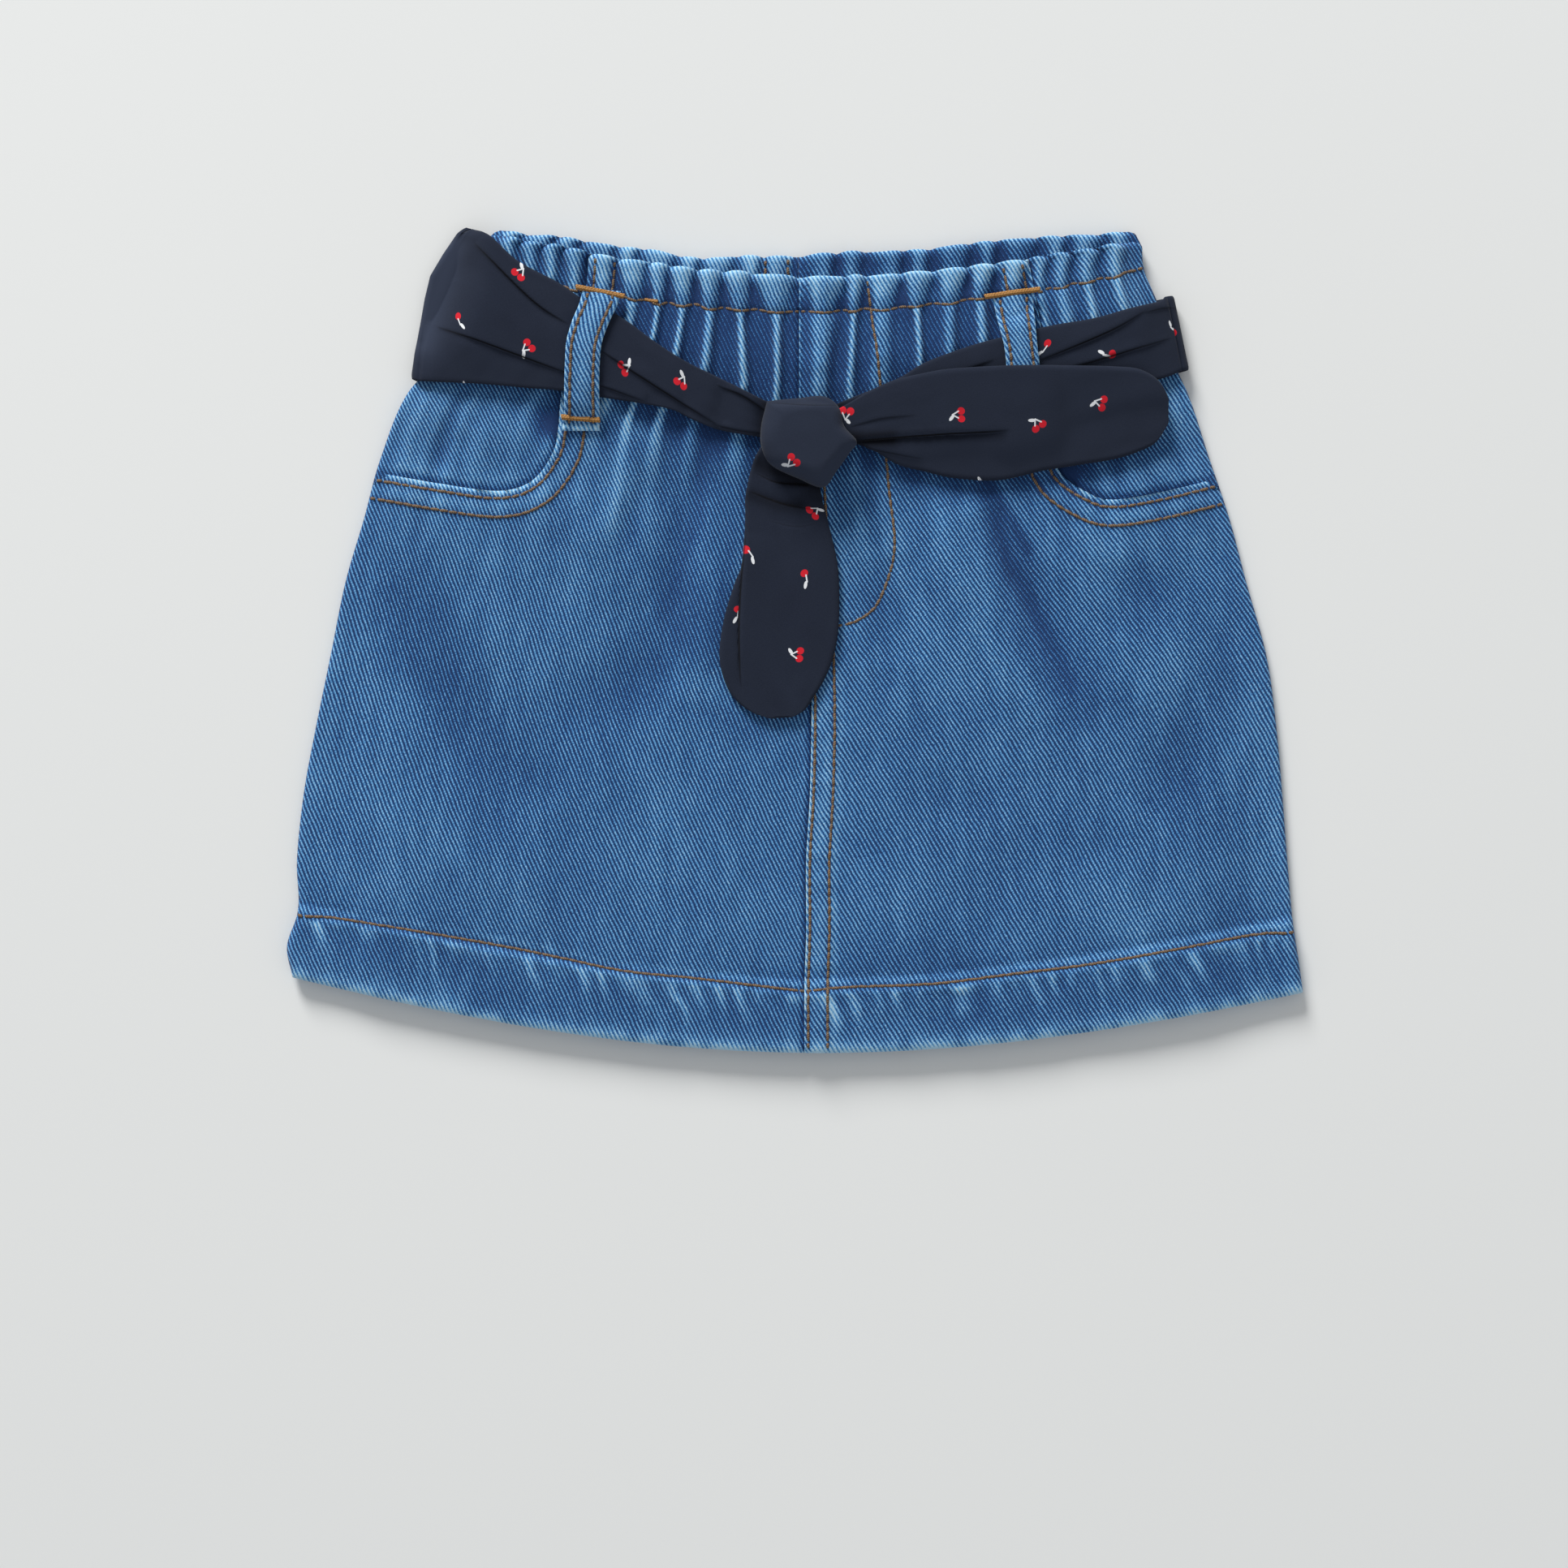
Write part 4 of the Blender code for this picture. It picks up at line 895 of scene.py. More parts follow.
def panel_grid(is_front, side, downs, shares, drop=0.0, detail=True):
    """Middle of a panel's wall and the wall there, from the rounded side edge in to the seam."""
    down = np.asarray(downs, float)[:, None]
    share = np.asarray(shares, float)[None, :]
    x, y, z = panel_points(is_front, side, down + 0 * share, share + 0 * down, drop, detail)
    edge_x = side_edge(side, "x", down)
    edge_y = side_edge(side, "y", down)
    radius, middle = edge_roll(down)
    upward = 1 if is_front else -1
    points, walls = [], []
    for part in EDGE_SHARES:
        outer = radius * math.sqrt(1 - (1 - part) ** 2)
        z_edge = middle + upward * (outer + GAP / 2) / 2
        y_edge = edge_y + (y[:, :1] - edge_y) * part
        points.append(np.stack([edge_x - side * part * radius, y_edge, z_edge], axis=2))
        walls.append(np.maximum(outer - GAP / 2, 0.05))
    points.append(np.stack([x, y, z], axis=2))
    walls.append(front_wall(side, down, share) if is_front else wall_at(down) + 0 * share)
    return np.concatenate(points, axis=1), np.concatenate(walls, axis=1)


def find_on_panel(side, x, y):
    """How far down each point of the front is, how far in from the side edge, and how far round it."""
    down = TOP_EDGE_Y - y
    for _ in range(14):
        down = down + row_y(x, down, True) - y
    inner_x, seam_x, radius = panel_ends(True, side, down)
    share = np.clip((x - inner_x) / (seam_x - inner_x), 0, 1)
    return down, share, np.clip(side * (x - inner_x) / radius, 0, 0.98)


def edge_fall(down, turned):
    """How far the rounded side edge has come down, where it has turned by this share of its radius."""
    radius, _ = edge_roll(down)
    return radius * (1 - np.sqrt(1 - turned**2))


def on_front(side, x, y):
    """Points on top of a front panel under these places."""
    x, y = np.asarray(x, float), np.asarray(y, float)
    down, share, turned = find_on_panel(side, x, y)
    _, _, z = panel_points(True, side, down, share)
    return np.stack([x, y, z + front_wall(side, down, share) / 2 - edge_fall(down, turned)], axis=1)


# Cloth that lies on other cloth

def lie_on(x, y, support, radius):
    """The height of soft cloth that bridges the points under it in curves of this radius."""
    height = np.empty(x.size)
    for start in range(0, x.size, 200):
        part = slice(start, start + 200)
        at_x, at_y = x.ravel()[part, None], y.ravel()[part, None]
        near = (support[:, 0] > at_x.min() - 16) & (support[:, 0] < at_x.max() + 16)
        near &= (support[:, 1] > at_y.min() - 16) & (support[:, 1] < at_y.max() + 16)
        under = support[near]
        away = (at_x - under[None, :, 0]) ** 2 + (at_y - under[None, :, 1]) ** 2
        height[part] = (under[None, :, 2] - away / (2 * radius)).max(axis=1)
    return height.reshape(x.shape)


def strip_places(stations, spans):
    """A strip's grid: how far along, counted in stations, the share across, and x and y."""
    counts = np.arange(len(stations))
    along = np.linspace(0, counts[-1], spans[0] + 1)[:, None]
    across = np.linspace(0, 1, spans[1] + 1)[None, :]
    top_x, top_y, foot_x, foot_y = (smooth(counts, column, along) for column in zip(*stations))
    return along, across, top_x + (foot_x - top_x) * across, top_y + (foot_y - top_y) * across


def ridge_height(ridges, along, across):
    height = 0
    for ridge in ridges:
        centre = ridge.start + (ridge.end - ridge.start) * along
        height += ridge.height * bump(across, centre, ridge.width)
    return height


def crease_distance(crease, x, y):
    """Distance to a crease, over 0 on its raised side, and how strong it is there: 0 past its ends."""
    route_x, route_y = (smooth(range(3), bend, np.linspace(0, 2, 9)) for bend in bent_line(crease))
    distance, along = route_distance(x, y, route_x, route_y)
    length = np.hypot(np.diff(route_x), np.diff(route_y)).sum()
    return distance, np.sin(math.pi * np.clip(along / length, 0.001, 0.999)) ** 0.5


def crease_height(creases, x, y):
    """Turned folds of cotton: one side of each line stands up sharply and sinks back softly."""
    height = 0 * x
    for crease in creases:
        distance, strength = crease_distance(crease, x, y)
        raised = ease(distance, -0.6, 0.4) * np.exp(-np.maximum(distance, 0) / crease.width)
        sunk = 0.2 * bump(distance, -1.1, 1.2)
        height += crease.height * strength * (raised - sunk)
    return height


def crease_lines(creases, x, y):
    """Distance to the nearest crease, over 0 on its raised side, and how dark its line of painted shade is
    drawn.
    """
    nearest, shown = 0 * x + CREASE_REACH, 0 * x
    for crease in creases:
        distance, strength = crease_distance(crease, x, y)
        closer = np.abs(distance) < np.abs(nearest)
        strength = np.minimum(strength * crease.height, 1) * (1 - ease(np.abs(distance), 1.0, CREASE_REACH))
        nearest = np.where(closer, distance, nearest)
        shown = np.where(closer, strength, shown)
    return nearest, shown


def cotton_wrinkles(x, y, seed):
    return 0.07 * uneven(x, y, 11, 11, seed) + 0.02 * uneven(x, y, 4.4, 4.4, seed + 1)


def strip_grid(
    stations, spans, support, wall, ridges=(), creases=(), radius=12.0, lowest=0.0, moved=(0, 0), seed=30
):
    """Middle of a strip that lies on the support, with its ridges and creases standing up from there."""
    along, across, x, y = strip_places(stations, spans)
    x, y = x + moved[0], y + moved[1]
    z = lie_on(x, y, support, radius)
    if ridges:
        z = softened(np.minimum(lie_on(x, y, support, BRIDGE_RADIUS), z + MOST_BRIDGE), BRIDGE_SOFTENING)
    z = np.maximum(z + GAP + wall / 2 + ridge_height(ridges, along / (len(stations) - 1), across), lowest)
    if creases:
        z = z + crease_height(creases, x, y) + cotton_wrinkles(x, y, seed)
    return np.stack([x, y, z], axis=2)


def inward(side, fold):
    """The way in from a side fold, square to it."""
    run_x, run_y = fold.foot_x - fold.top_x, fold.foot_y - fold.top_y
    length = math.hypot(run_x, run_y)
    return -side * abs(run_y) / length, -abs(run_x) / length


def moved_in(side, fold, reach):
    way_x, way_y = inward(side, fold)
    step_x, step_y = way_x * reach, way_y * reach
    return Station(fold.top_x + step_x, fold.top_y + step_y, fold.foot_x + step_x, fold.foot_y + step_y)


def wrapped_grid(side, stations, bulge, spans, support, ridges, creases, seed):
    """A sash stretch: from under the skirt, round its side edge and over its front."""
    fold = stations[0]
    way_x, way_y = inward(side, fold)
    across = np.linspace(0, 1, spans[1] + 1)
    out = np.interp(across, [place.share for place in bulge], [place.out for place in bulge])
    fold_x = fold.top_x + (fold.foot_x - fold.top_x) * across - way_x * out
    fold_y = fold.top_y + (fold.foot_y - fold.top_y) * across - way_y * out
    inset = SASH_WALL
    for _ in range(3):
        over = lie_on(fold_x + way_x * inset, fold_y + way_y * inset, support, 12.0)
        height = np.maximum(over + GAP + SASH_WALL / 2, LEAST_FOLD_HEIGHT)
        radius = (height - SASH_WALL / 2) / 2
        inset = SASH_WALL / 2 + radius
    rows = []
    for part in np.linspace(1, 0.4, 7):
        reach = part * (UNDER_REACH + out)
        under = np.full_like(across, SASH_WALL / 2)
        rows.append(np.stack([fold_x + way_x * reach, fold_y + way_y * reach, under], axis=1))
    for degrees in range(-90, 91, 15):
        angle = math.radians(degrees)
        turn = inset - radius * math.cos(angle)
        turn_z = SASH_WALL / 2 + radius * (1 + math.sin(angle))
        rows.append(np.stack([fold_x + way_x * turn, fold_y + way_y * turn, turn_z], axis=1))
    first = rows[-1]
    start = Station(first[0, 0], first[0, 1], first[-1, 0], first[-1, 1])
    fade = 1 - ease(np.linspace(0, len(stations) - 1, spans[0] + 1)[:, None], 0, BULGE_STATIONS)
    moved = (-way_x * out * fade, -way_y * out * fade)
    over = strip_grid(
        (start,) + stations[1:], spans, support, SASH_WALL, ridges, lowest=LEAST_FOLD_HEIGHT, moved=moved
    )
    fade = np.clip(np.arange(spans[0] + 1) / 6, 0, 1)[:, None]
    over[:, :, 2] = over[:, :, 2] * fade + np.maximum(over[:, :, 2], height[None, :]) * (1 - fade)
    over_x, over_y = over[:, :, 0], over[:, :, 1]
    detail = crease_height(creases, over_x, over_y) + cotton_wrinkles(over_x, over_y, seed)
    over[:, :, 2] += detail * fade
    return np.concatenate([np.stack(rows), over[1:]]), len(rows)


# Meshes

def grid_quads(rows, columns):
    index = np.arange(rows * columns).reshape(rows, columns)
    return np.stack([index[:-1, :-1], index[1:, :-1], index[1:, 1:], index[:-1, 1:]], axis=2).reshape(-1, 4)


def grid_normals(points):
    """Normals of a grid of points, pointing up on the whole."""
    down, across = np.gradient(points, axis=0), np.gradient(points, axis=1)
    normal = np.cross(down, across)
    normal /= np.maximum(np.linalg.norm(normal, axis=2, keepdims=True), 1e-9)
    return normal * (1 if normal[:, :, 2].sum() > 0 else -1)


def tapered(wall, rows=True, columns=True):
    """The wall with its free edges rounded off."""
    wall = wall.copy()
    for depth, share in enumerate(TAPER):
        if rows:
            wall[depth] *= share
            wall[-1 - depth] *= share
        if columns:
            wall[:, depth] *= share
            wall[:, -1 - depth] *= share
    return wall


def tube_faces(first, rings, sides):
    """Faces of a closed tube whose rings of points follow each other from this number on."""
    faces = []
    for ring in range(rings - 1):
        for k in range(sides):
            after = (k + 1) % sides
            low, high = first + ring * sides, first + (ring + 1) * sides
            faces.append((low + k, low + after, high + after, high + k))
    last = first + (rings - 1) * sides
    return faces + [tuple(range(first + sides - 1, first - 1, -1)), tuple(range(last, last + sides))]


def ride_and_replace(obj, node):
    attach(obj, "root")
    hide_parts(node)


def add_object(name, data):
    obj = bpy.data.objects.new(name, data)
    bpy.context.scene.collection.objects.link(obj)
    return obj


def link_mesh(name, points, faces, material):
    data = bpy.data.meshes.new(name)
    data.from_pydata((points * MM).tolist(), [], faces)
    data.materials.append(material)
    data.shade_smooth()
    return add_object(name, data)


def paint_cloth(obj, uv, **painted_values):
    """Gives the mesh its flat-cloth coordinates, in millimetres, and values painted on its points."""
    data = obj.data
    corners = np.empty(len(data.loops), np.int32)
    data.loops.foreach_get("vertex_index", corners)
    layer = data.uv_layers.new(name="cloth")
    layer.data.foreach_set("uv", uv[corners].astype(np.float32).ravel())
    for name, values in painted_values.items():
        painted = data.attributes.new(name, "FLOAT", "POINT")
        painted.data.foreach_set("value", values.astype(np.float32))


def add_shell(name, middle, wall, uv, material, keep=None, outward=(0, 0, 1), **painted_values):
    """A closed sheet of cloth: the upper and lower side of a grid's wall, joined round their edge."""
    quads = grid_quads(*middle.shape[:2])
    if keep is not None:
        quads = quads[keep]
    upper = (middle + np.asarray(outward) * wall[:, :, None] / 2).reshape(-1, 3)
    lower = (middle - np.asarray(outward) * wall[:, :, None] / 2).reshape(-1, 3)
    corner = upper[quads]
    facing = np.cross(corner[:, 1] - corner[:, 0], corner[:, 2] - corner[:, 0])
    if (facing * np.broadcast_to(outward, middle.shape).reshape(-1, 3)[quads[:, 0]]).sum() < 0:
        quads = quads[:, ::-1]
    used, quads = np.unique(quads, return_inverse=True)
    quads = quads.reshape(-1, 4)
    count = len(used)
    starts, ends = quads.ravel(), np.roll(quads, -1, axis=1).ravel()
    free = ~np.isin(starts * count + ends, ends * count + starts)
    a, b = starts[free], ends[free]
    rim = np.stack([b, a, a + count, b + count], axis=1)
    faces = np.concatenate([quads, quads[:, ::-1] + count, rim])
    points = np.concatenate([upper[used], lower[used]])
    obj = link_mesh(name, points, faces.tolist(), material)
    doubled = {key: np.tile(values.ravel()[used], 2) for key, values in painted_values.items()}
    paint_cloth(obj, np.tile(uv.reshape(-1, 2)[used], (2, 1)), **doubled)
    return obj


def softened(values, times):
    """The grid of values, each moved towards its neighbours many times."""
    for _ in range(times):
        padded = np.pad(values, 1, mode="edge")
        values = (padded[:-2, 1:-1] + padded[2:, 1:-1] + padded[1:-1, :-2] + padded[1:-1, 2:]) / 4
    return values


def strip_cloth(middle):
    """Flat-cloth coordinates of a strip: along it and across it, from real lengths."""
    along = distances(middle[:, middle.shape[1] // 2])
    steps = np.linalg.norm(np.diff(middle[:, :, :2], axis=1), axis=2)
    across = np.concatenate([np.zeros((len(middle), 1)), np.cumsum(steps, axis=1)], axis=1)
    across -= across[:, -1:] / 2
    return np.stack([along[:, None] + 0 * across, across], axis=2)


# The denim's pieces as grids, kept for what lies on them

FRONT_DOWNS = np.concatenate([np.arange(0, 60, 0.7), np.arange(60, 193, 1.15), np.linspace(193, LENGTH, 38)])
BACK_DOWNS = np.concatenate([np.arange(0, 20, 0.6), np.arange(20, 200, 2.2), np.linspace(200, LENGTH, 16)])
YOKE_DOWNS = np.arange(0, 76, 0.8)
FRONT_SHARES = np.concatenate([np.linspace(0, 0.925, 154), np.linspace(0.925, 1, 19)[1:]])
BACK_SHARES = np.linspace(0, 1, 131)
YOKE_SHARES = np.linspace(0, 0.55, 90)
SUPPORT_ROWS = 168


def panel_cloth(is_front, side, downs, shares, drop=0.0):
    """Flat-cloth coordinates of a panel: lengths along its rows, turned to its grain."""
    plain, _ = panel_grid(is_front, side, downs, shares, drop, detail=False)
    stretch = np.where(np.arange(plain.shape[1] - 1) < len(EDGE_SHARES), 1, GATHER_STRETCH)
    steps = np.hypot(np.diff(plain[:, :, 0], axis=1), np.diff(plain[:, :, 2], axis=1) * stretch)[:, ::-1]
    along = np.concatenate([np.zeros((len(plain), 1)), np.cumsum(steps, axis=1)], axis=1)[:, ::-1]
    across = plain[:, -1:, 0] + side * along
    up = plain[:, :, 1]
    down = np.asarray(downs, float)[:, None]
    out = ease(down, 0, 100) * ease(np.abs(across), -80, 120)
    less = 1 - (1 - HEM_LEAN) * ease(down, 100, 200)
    lean = side * GRAIN_LEAN * (LEAST_LEAN + (1 - LEAST_LEAN) * out) * less
    turned_x = across * np.cos(lean) + up * np.sin(lean)
    turned_y = -across * np.sin(lean) + up * np.cos(lean)
    return np.stack([turned_x, turned_y], axis=2)


@lru_cache(maxsize=None)
def front_grid(side):
    return panel_grid(True, side, FRONT_DOWNS, FRONT_SHARES)


@lru_cache(maxsize=None)
def front_support():
    """Points of the fronts' upper side near the waist."""
    grids = [front_grid(side) for _, side in SIDES]
    return np.concatenate([top_points(middle[:SUPPORT_ROWS], wall[:SUPPORT_ROWS]) for middle, wall in grids])


def top_points(middle, wall, step=2):
    """Some of the points of a wall's upper side."""
    return (middle + np.multiply.outer(wall, [0, 0, 0.5]))[::step, ::step].reshape(-1, 3)


@lru_cache(maxsize=None)
def sash_grids():
    front = front_support()
    left = wrapped_grid(
        -1, SASH_LEFT, SASH_LEFT_BULGE, (250, 88), front, SASH_LEFT_RIDGES, SASH_LEFT_CREASES, 31
    )
    right = wrapped_grid(1, SASH_RIGHT, STRAIGHT, (200, 60), front, SASH_RIGHT_RIDGES, SASH_RIGHT_CREASES, 41)
    return left, right


@lru_cache(maxsize=None)
def sash_support():
    return np.concatenate([top_points(grid[turned:], SASH_WALL) for grid, turned in sash_grids()])


@lru_cache(maxsize=None)
def loop_grids():
    support = np.concatenate([front_support(), sash_support()])
    return [strip_grid(table, (84, 22), support, LOOP_WALL, radius=9.0) for table in (LOOP_LEFT, LOOP_RIGHT)]


@lru_cache(maxsize=None)
def tail_grids():
    loops = [top_points(grid, LOOP_WALL, 3) for grid in loop_grids()]
    support = np.concatenate([front_support(), sash_support()] + loops)
    right = strip_grid(
        TAIL_RIGHT, (190, 64), support, TAIL_WALL, TAIL_RIGHT_RIDGES, TAIL_RIGHT_CREASES, seed=51
    )
    down = strip_grid(
        TAIL_DOWN, (160, 66), support, TAIL_WALL, TAIL_DOWN_RIDGES, TAIL_DOWN_CREASES, seed=61
    )
    return right, down


# Materials

def operators(operation):
    """A Python operator of Number and its reflected form, for one of the Math node's operations."""
    return (
        lambda self, other: self.math(operation, self, other),
        lambda self, other: self.math(operation, other, self),
    )


class Number:
    """A number that varies over a surface: Python's operators add the Math nodes for it."""

    def __init__(self, finish, socket):
        self.finish = finish
        self.socket = socket

    def math(self, operation, *values):
        made = self.finish.node("ShaderNodeMath", {"operation": operation}, dict(enumerate(values)))
        return Number(self.finish, made.outputs[0])

    __add__, __radd__ = operators("ADD")
    __sub__, __rsub__ = operators("SUBTRACT")
    __mul__, __rmul__ = operators("MULTIPLY")
    __truediv__, __rtruediv__ = operators("DIVIDE")

    def sine(self):
        return self.math("SINE", self)

    def floor(self):
        return self.math("FLOOR", self)

    def size(self):
        return self.math("ABSOLUTE", self)

    def at_least(self, other):
        return self.math("MAXIMUM", self, other)

    def clamped(self):
        return self.math("MINIMUM", self.at_least(0.0), 1.0)

    def length_with(self, other):
        return self.math("SQRT", self * self + other * other)

    def under(self, limit, softness):
        """1 where the number is under the limit, with a soft edge."""
        return ((limit - self) / softness + 0.5).clamped()


class Finish:
    """A new material, with its Principled shader and the nodes that feed it."""

    def __init__(self, name, colour, roughness, **fixed):
        self.material = bpy.data.materials.new(name)
        self.material.use_nodes = True
        self.tree = self.material.node_tree
        self.shader = self.tree.nodes["Principled BSDF"]
        self.shader.inputs["Base Color"].default_value = (*colour, 1)
        self.shader.inputs["Roughness"].default_value = roughness
        for socket, value in fixed.items():
            self.shader.inputs[socket.replace("_", " ")].default_value = value

    def node(self, kind, settings=None, sockets=None):
        """Adds a node: its settings are set first, then the values or links of its sockets."""
        made = self.tree.nodes.new(kind)
        for name, value in (settings or {}).items():
            setattr(made, name, value)
        for name, value in (sockets or {}).items():
            self.feed(made.inputs[name], value)
        return made

    def feed(self, socket, value):
        if isinstance(value, Number):
            value = value.socket
        if isinstance(value, bpy.types.NodeSocket):
            self.tree.links.new(value, socket)
        else:
            socket.default_value = value

    def cloth(self):
        """The piece's flat-cloth coordinates, in millimetres."""
        made = self.node("ShaderNodeUVMap", {"uv_map": "cloth"})
        parts = self.node("ShaderNodeSeparateXYZ", None, {0: made.outputs["UV"]})
        return Number(self, parts.outputs[0]), Number(self, parts.outputs[1])

    def painted(self, name):
        made = self.node("ShaderNodeAttribute", {"attribute_name": name})
        return Number(self, made.outputs["Fac"])

    def place(self, x, y, z=0.0):
        return self.node("ShaderNodeCombineXYZ", None, {0: x, 1: y, 2: z}).outputs[0]

    def noise(self, x, y, detail=2.0, z=0.0):
        sockets = {"Vector": self.place(x, y, z), "Scale": 1.0, "Detail": detail}
        return Number(self, self.node("ShaderNodeTexNoise", None, sockets).outputs["Fac"])

    def mix(self, share, first, second):
        """A colour between two: at share 0 the first, at share 1 the second."""
        made = self.node("ShaderNodeMix", {"data_type": "RGBA"}, {0: share, 6: first, 7: second})
        return made.outputs[2]

    def paint(self, colour):
        self.feed(self.shader.inputs["Base Color"], colour)

    def raise_by(self, height, distance, strength=1.0):
        """Feeds the shader's normal with a height from 0 to 1."""
        sockets = {"Height": height, "Distance": distance, "Strength": strength}
        self.feed(self.shader.inputs["Normal"], self.node("ShaderNodeBump", None, sockets).outputs["Normal"])


def rgb(colour):
    return (*colour, 1)


def denim_finish(sizes):
    """Washed twill: pale dashes of yarn in slanting ribs over dark blue, paler where the cloth is rubbed with
    use and where light is painted, darker where shade is painted.
    """
    finish = Finish("washed_denim", sizes.middle, 0.88, Specular_IOR_Level=0.25, Sheen_Weight=0.12)
    across, up = finish.cloth()
    wear = finish.painted("wear")
    angle = sizes.rib_angle
    wander = finish.noise(across * 0.16, up * 0.16, 2.0)
    rib_place = (across * math.sin(angle) + up * math.cos(angle)) / sizes.rib_pitch + wander * 0.7
    dash_place = (up * math.sin(angle) - across * math.cos(angle)) / sizes.yarn_pitch
    rib = (rib_place * (2 * math.pi)).sine() * 0.5 + 0.5
    dash = (dash_place * (2 * math.pi)).sine() * 0.5 + 0.5
    slub = finish.noise(across * 2.8, up * 1.5, 2.0)
    filling = finish.noise(across * 1.2, up * 3.0, 2.0, 7.0)
    faded = finish.noise(across * 0.04, up * 0.03, 3.0, 3.0)
    cloud = finish.noise(across * 0.3, up * 0.07, 3.0, 5.0)
    yarn = dash * 0.24 + finish.noise(across * 1.4, up * 1.4, 1.0, 11.0) * 0.5 + 0.43
    speck = finish.noise(across * 5.5, up * 4.5, 1.0, 13.0)
    light = rib * yarn * sizes.rib_contrast + (slub - 0.5) * 1.3 + (filling - 0.5) * 0.8 + (speck - 0.5) * 0.7
    # The painted values add paler rubbed places together with painted shade and painted light
    light = light + (faded - 0.5) * 0.45 + (cloud - 0.5) * 0.45 + wear * 0.7 + sizes.fade
    deep = finish.mix((light / 0.45).clamped(), rgb(sizes.dark), rgb(sizes.middle))
    pale = finish.mix(((light - 0.45) / 0.5).clamped(), deep, rgb(sizes.light))
    colour = finish.mix(((light - 0.95) / 0.7).clamped(), pale, rgb(sizes.wear_and_shading))
    finish.paint(colour)
    finish.raise_by(rib * 0.7 + slub * 0.5 + filling * 0.2, 0.00022, 0.8)
    return finish.material


def distance_to_line(x, y, x0, y0, x1, y1):
    """Distance of each point from a short straight line."""
    run_x, run_y = x1 - x0, y1 - y0
    length = run_x**2 + run_y**2
    share = (((x - x0) * run_x + (y - y0) * run_y) / length).clamped()
    return (x - x0 - share * run_x).length_with(y - y0 - share * run_y)


# The print's net: its rows stand closer than its columns, and where the first row starts
ROW_SHARE = 0.8
FIRST_ROW = 0.31


def cotton_finish(sizes):
    """Fine navy cotton with a small print of paired cherries, one in each cell of a net."""
    finish = Finish("printed_cotton", sizes.navy, 0.95, Specular_IOR_Level=0.16, Sheen_Weight=0.05)
    along, across = finish.cloth()
    cell = sizes.print_spacing
    row = (across / (cell * ROW_SHARE) + FIRST_ROW).floor()
    shift = row * 0.5 + 0.13
    column = (along / cell + shift).floor()
    x = along - (column + 0.5 - shift) * cell
    y = across - (row + 0.5 - FIRST_ROW) * (cell * ROW_SHARE)
    sockets = {"Vector": finish.place(column, row)}
    chance = finish.node("ShaderNodeTexWhiteNoise", {"noise_dimensions": "2D"}, sockets)
    parts = finish.node("ShaderNodeSeparateColor", None, {0: chance.outputs["Color"]})
    turn = Number(finish, parts.outputs[0]) * (2 * math.pi)
    x -= (Number(finish, parts.outputs[1]) - 0.5) * (cell * 0.4)
    y -= (Number(finish, parts.outputs[2]) - 0.5) * (cell * 0.3)
    sine, cosine = turn.sine(), (turn + math.pi / 2).sine()
    x, y = x * cosine + y * sine, y * cosine - x * sine
    x, y = x / sizes.print_size, y / sizes.print_size
    soft = 0.12
    paired = ((0.7 - Number(finish, chance.outputs["Value"])) * 1000.0).clamped()
    berries = (x + 1.15).length_with(y + 1.05).under(1.05, soft)
    berries += (x - 1.05).length_with(y + 1.35).under(1.05, soft) * paired
    stems = distance_to_line(x, y, -1.0, -0.3, 0.25, 1.2).under(0.19, soft)
    stems += distance_to_line(x, y, 0.95, -0.5, 0.25, 1.2).under(0.19, soft) * paired
    leaf = ((x - 1.15) * 0.86 + (y - 1.35) * 0.5).length_with(((y - 1.35) * 0.86 - (x - 1.15) * 0.5) * 2.3)
    white = (stems + leaf.under(1.05, soft)).clamped()
    thread = finish.noise(along * 6.0, across * 1.2, 2.0) + finish.noise(along * 1.2, across * 6.0, 2.0, 4.0)
    soft_light = finish.noise(along * 0.09, across * 0.12, 2.0, 9.0)
    light = ((thread - 1.0) * 0.7 + (soft_light - 0.5) * 0.5 + 0.45).clamped()
    # Painted shade and painted light from the shade attribute: under 0 the cloth takes the lifted colour
    broad = finish.painted("shade")
    cloth = finish.mix(light, rgb(sizes.navy), rgb(sizes.navy_light))
    cloth = finish.mix((0.0 - broad).clamped(), cloth, rgb(sizes.lifted))
    colour = finish.mix(berries.clamped(), cloth, rgb(sizes.cherry))
    colour = finish.mix(white, colour, rgb(sizes.leaf))
    # Painted shade along the creases: a dark line at each and softer shade on its low side
    crease = finish.painted("crease")
    line = (1.3 - (crease + 0.1).size() / 0.26).clamped()
    beside = (1.0 + crease / 1.6).clamped() * crease.under(0.0, 0.2) * 0.4
    dark = finish.painted("wear") * line.at_least(beside) + broad.at_least(0.0)
    colour = finish.mix(dark.clamped(), colour, rgb(sizes.crease))
    finish.paint(colour)
    finish.raise_by(thread * 0.5, 0.00008, 0.6)
    return finish.material


def thread_finish(name, colour, dark):
    """Twisted sewing thread, with slanting turns along each stitch."""
    finish = Finish(name, colour, 0.6, Specular_IOR_Level=0.35)
    along, across = finish.cloth()
    turns = ((along * 1.6 + across * 0.9) * (2 * math.pi)).sine() * 0.5 + 0.5
    finish.paint(finish.mix(turns, rgb(dark), rgb(colour)))
    finish.raise_by(turns, 0.0001, 0.7)
    return finish.material


def floor_finish(colour):
    finish = Finish("pale_board", colour, 0.9, Specular_IOR_Level=0.2)
    coords = finish.node("ShaderNodeTexCoord")
    sockets = {"Vector": coords.outputs["Object"], "Scale": 2.5, "Detail": 2.0}
    grain = Number(finish, finish.node("ShaderNodeTexNoise", None, sockets).outputs["Fac"])
    shade = tuple(part * 0.97 for part in colour)
    finish.paint(finish.mix(grain, rgb(shade), rgb(colour)))
    return finish.material


def kept_material(name, make, *values):
    """A material by this name, made the first time that a piece asks for it."""
    return bpy.data.materials.get(name) or make(*values)


# Settings that a user would change

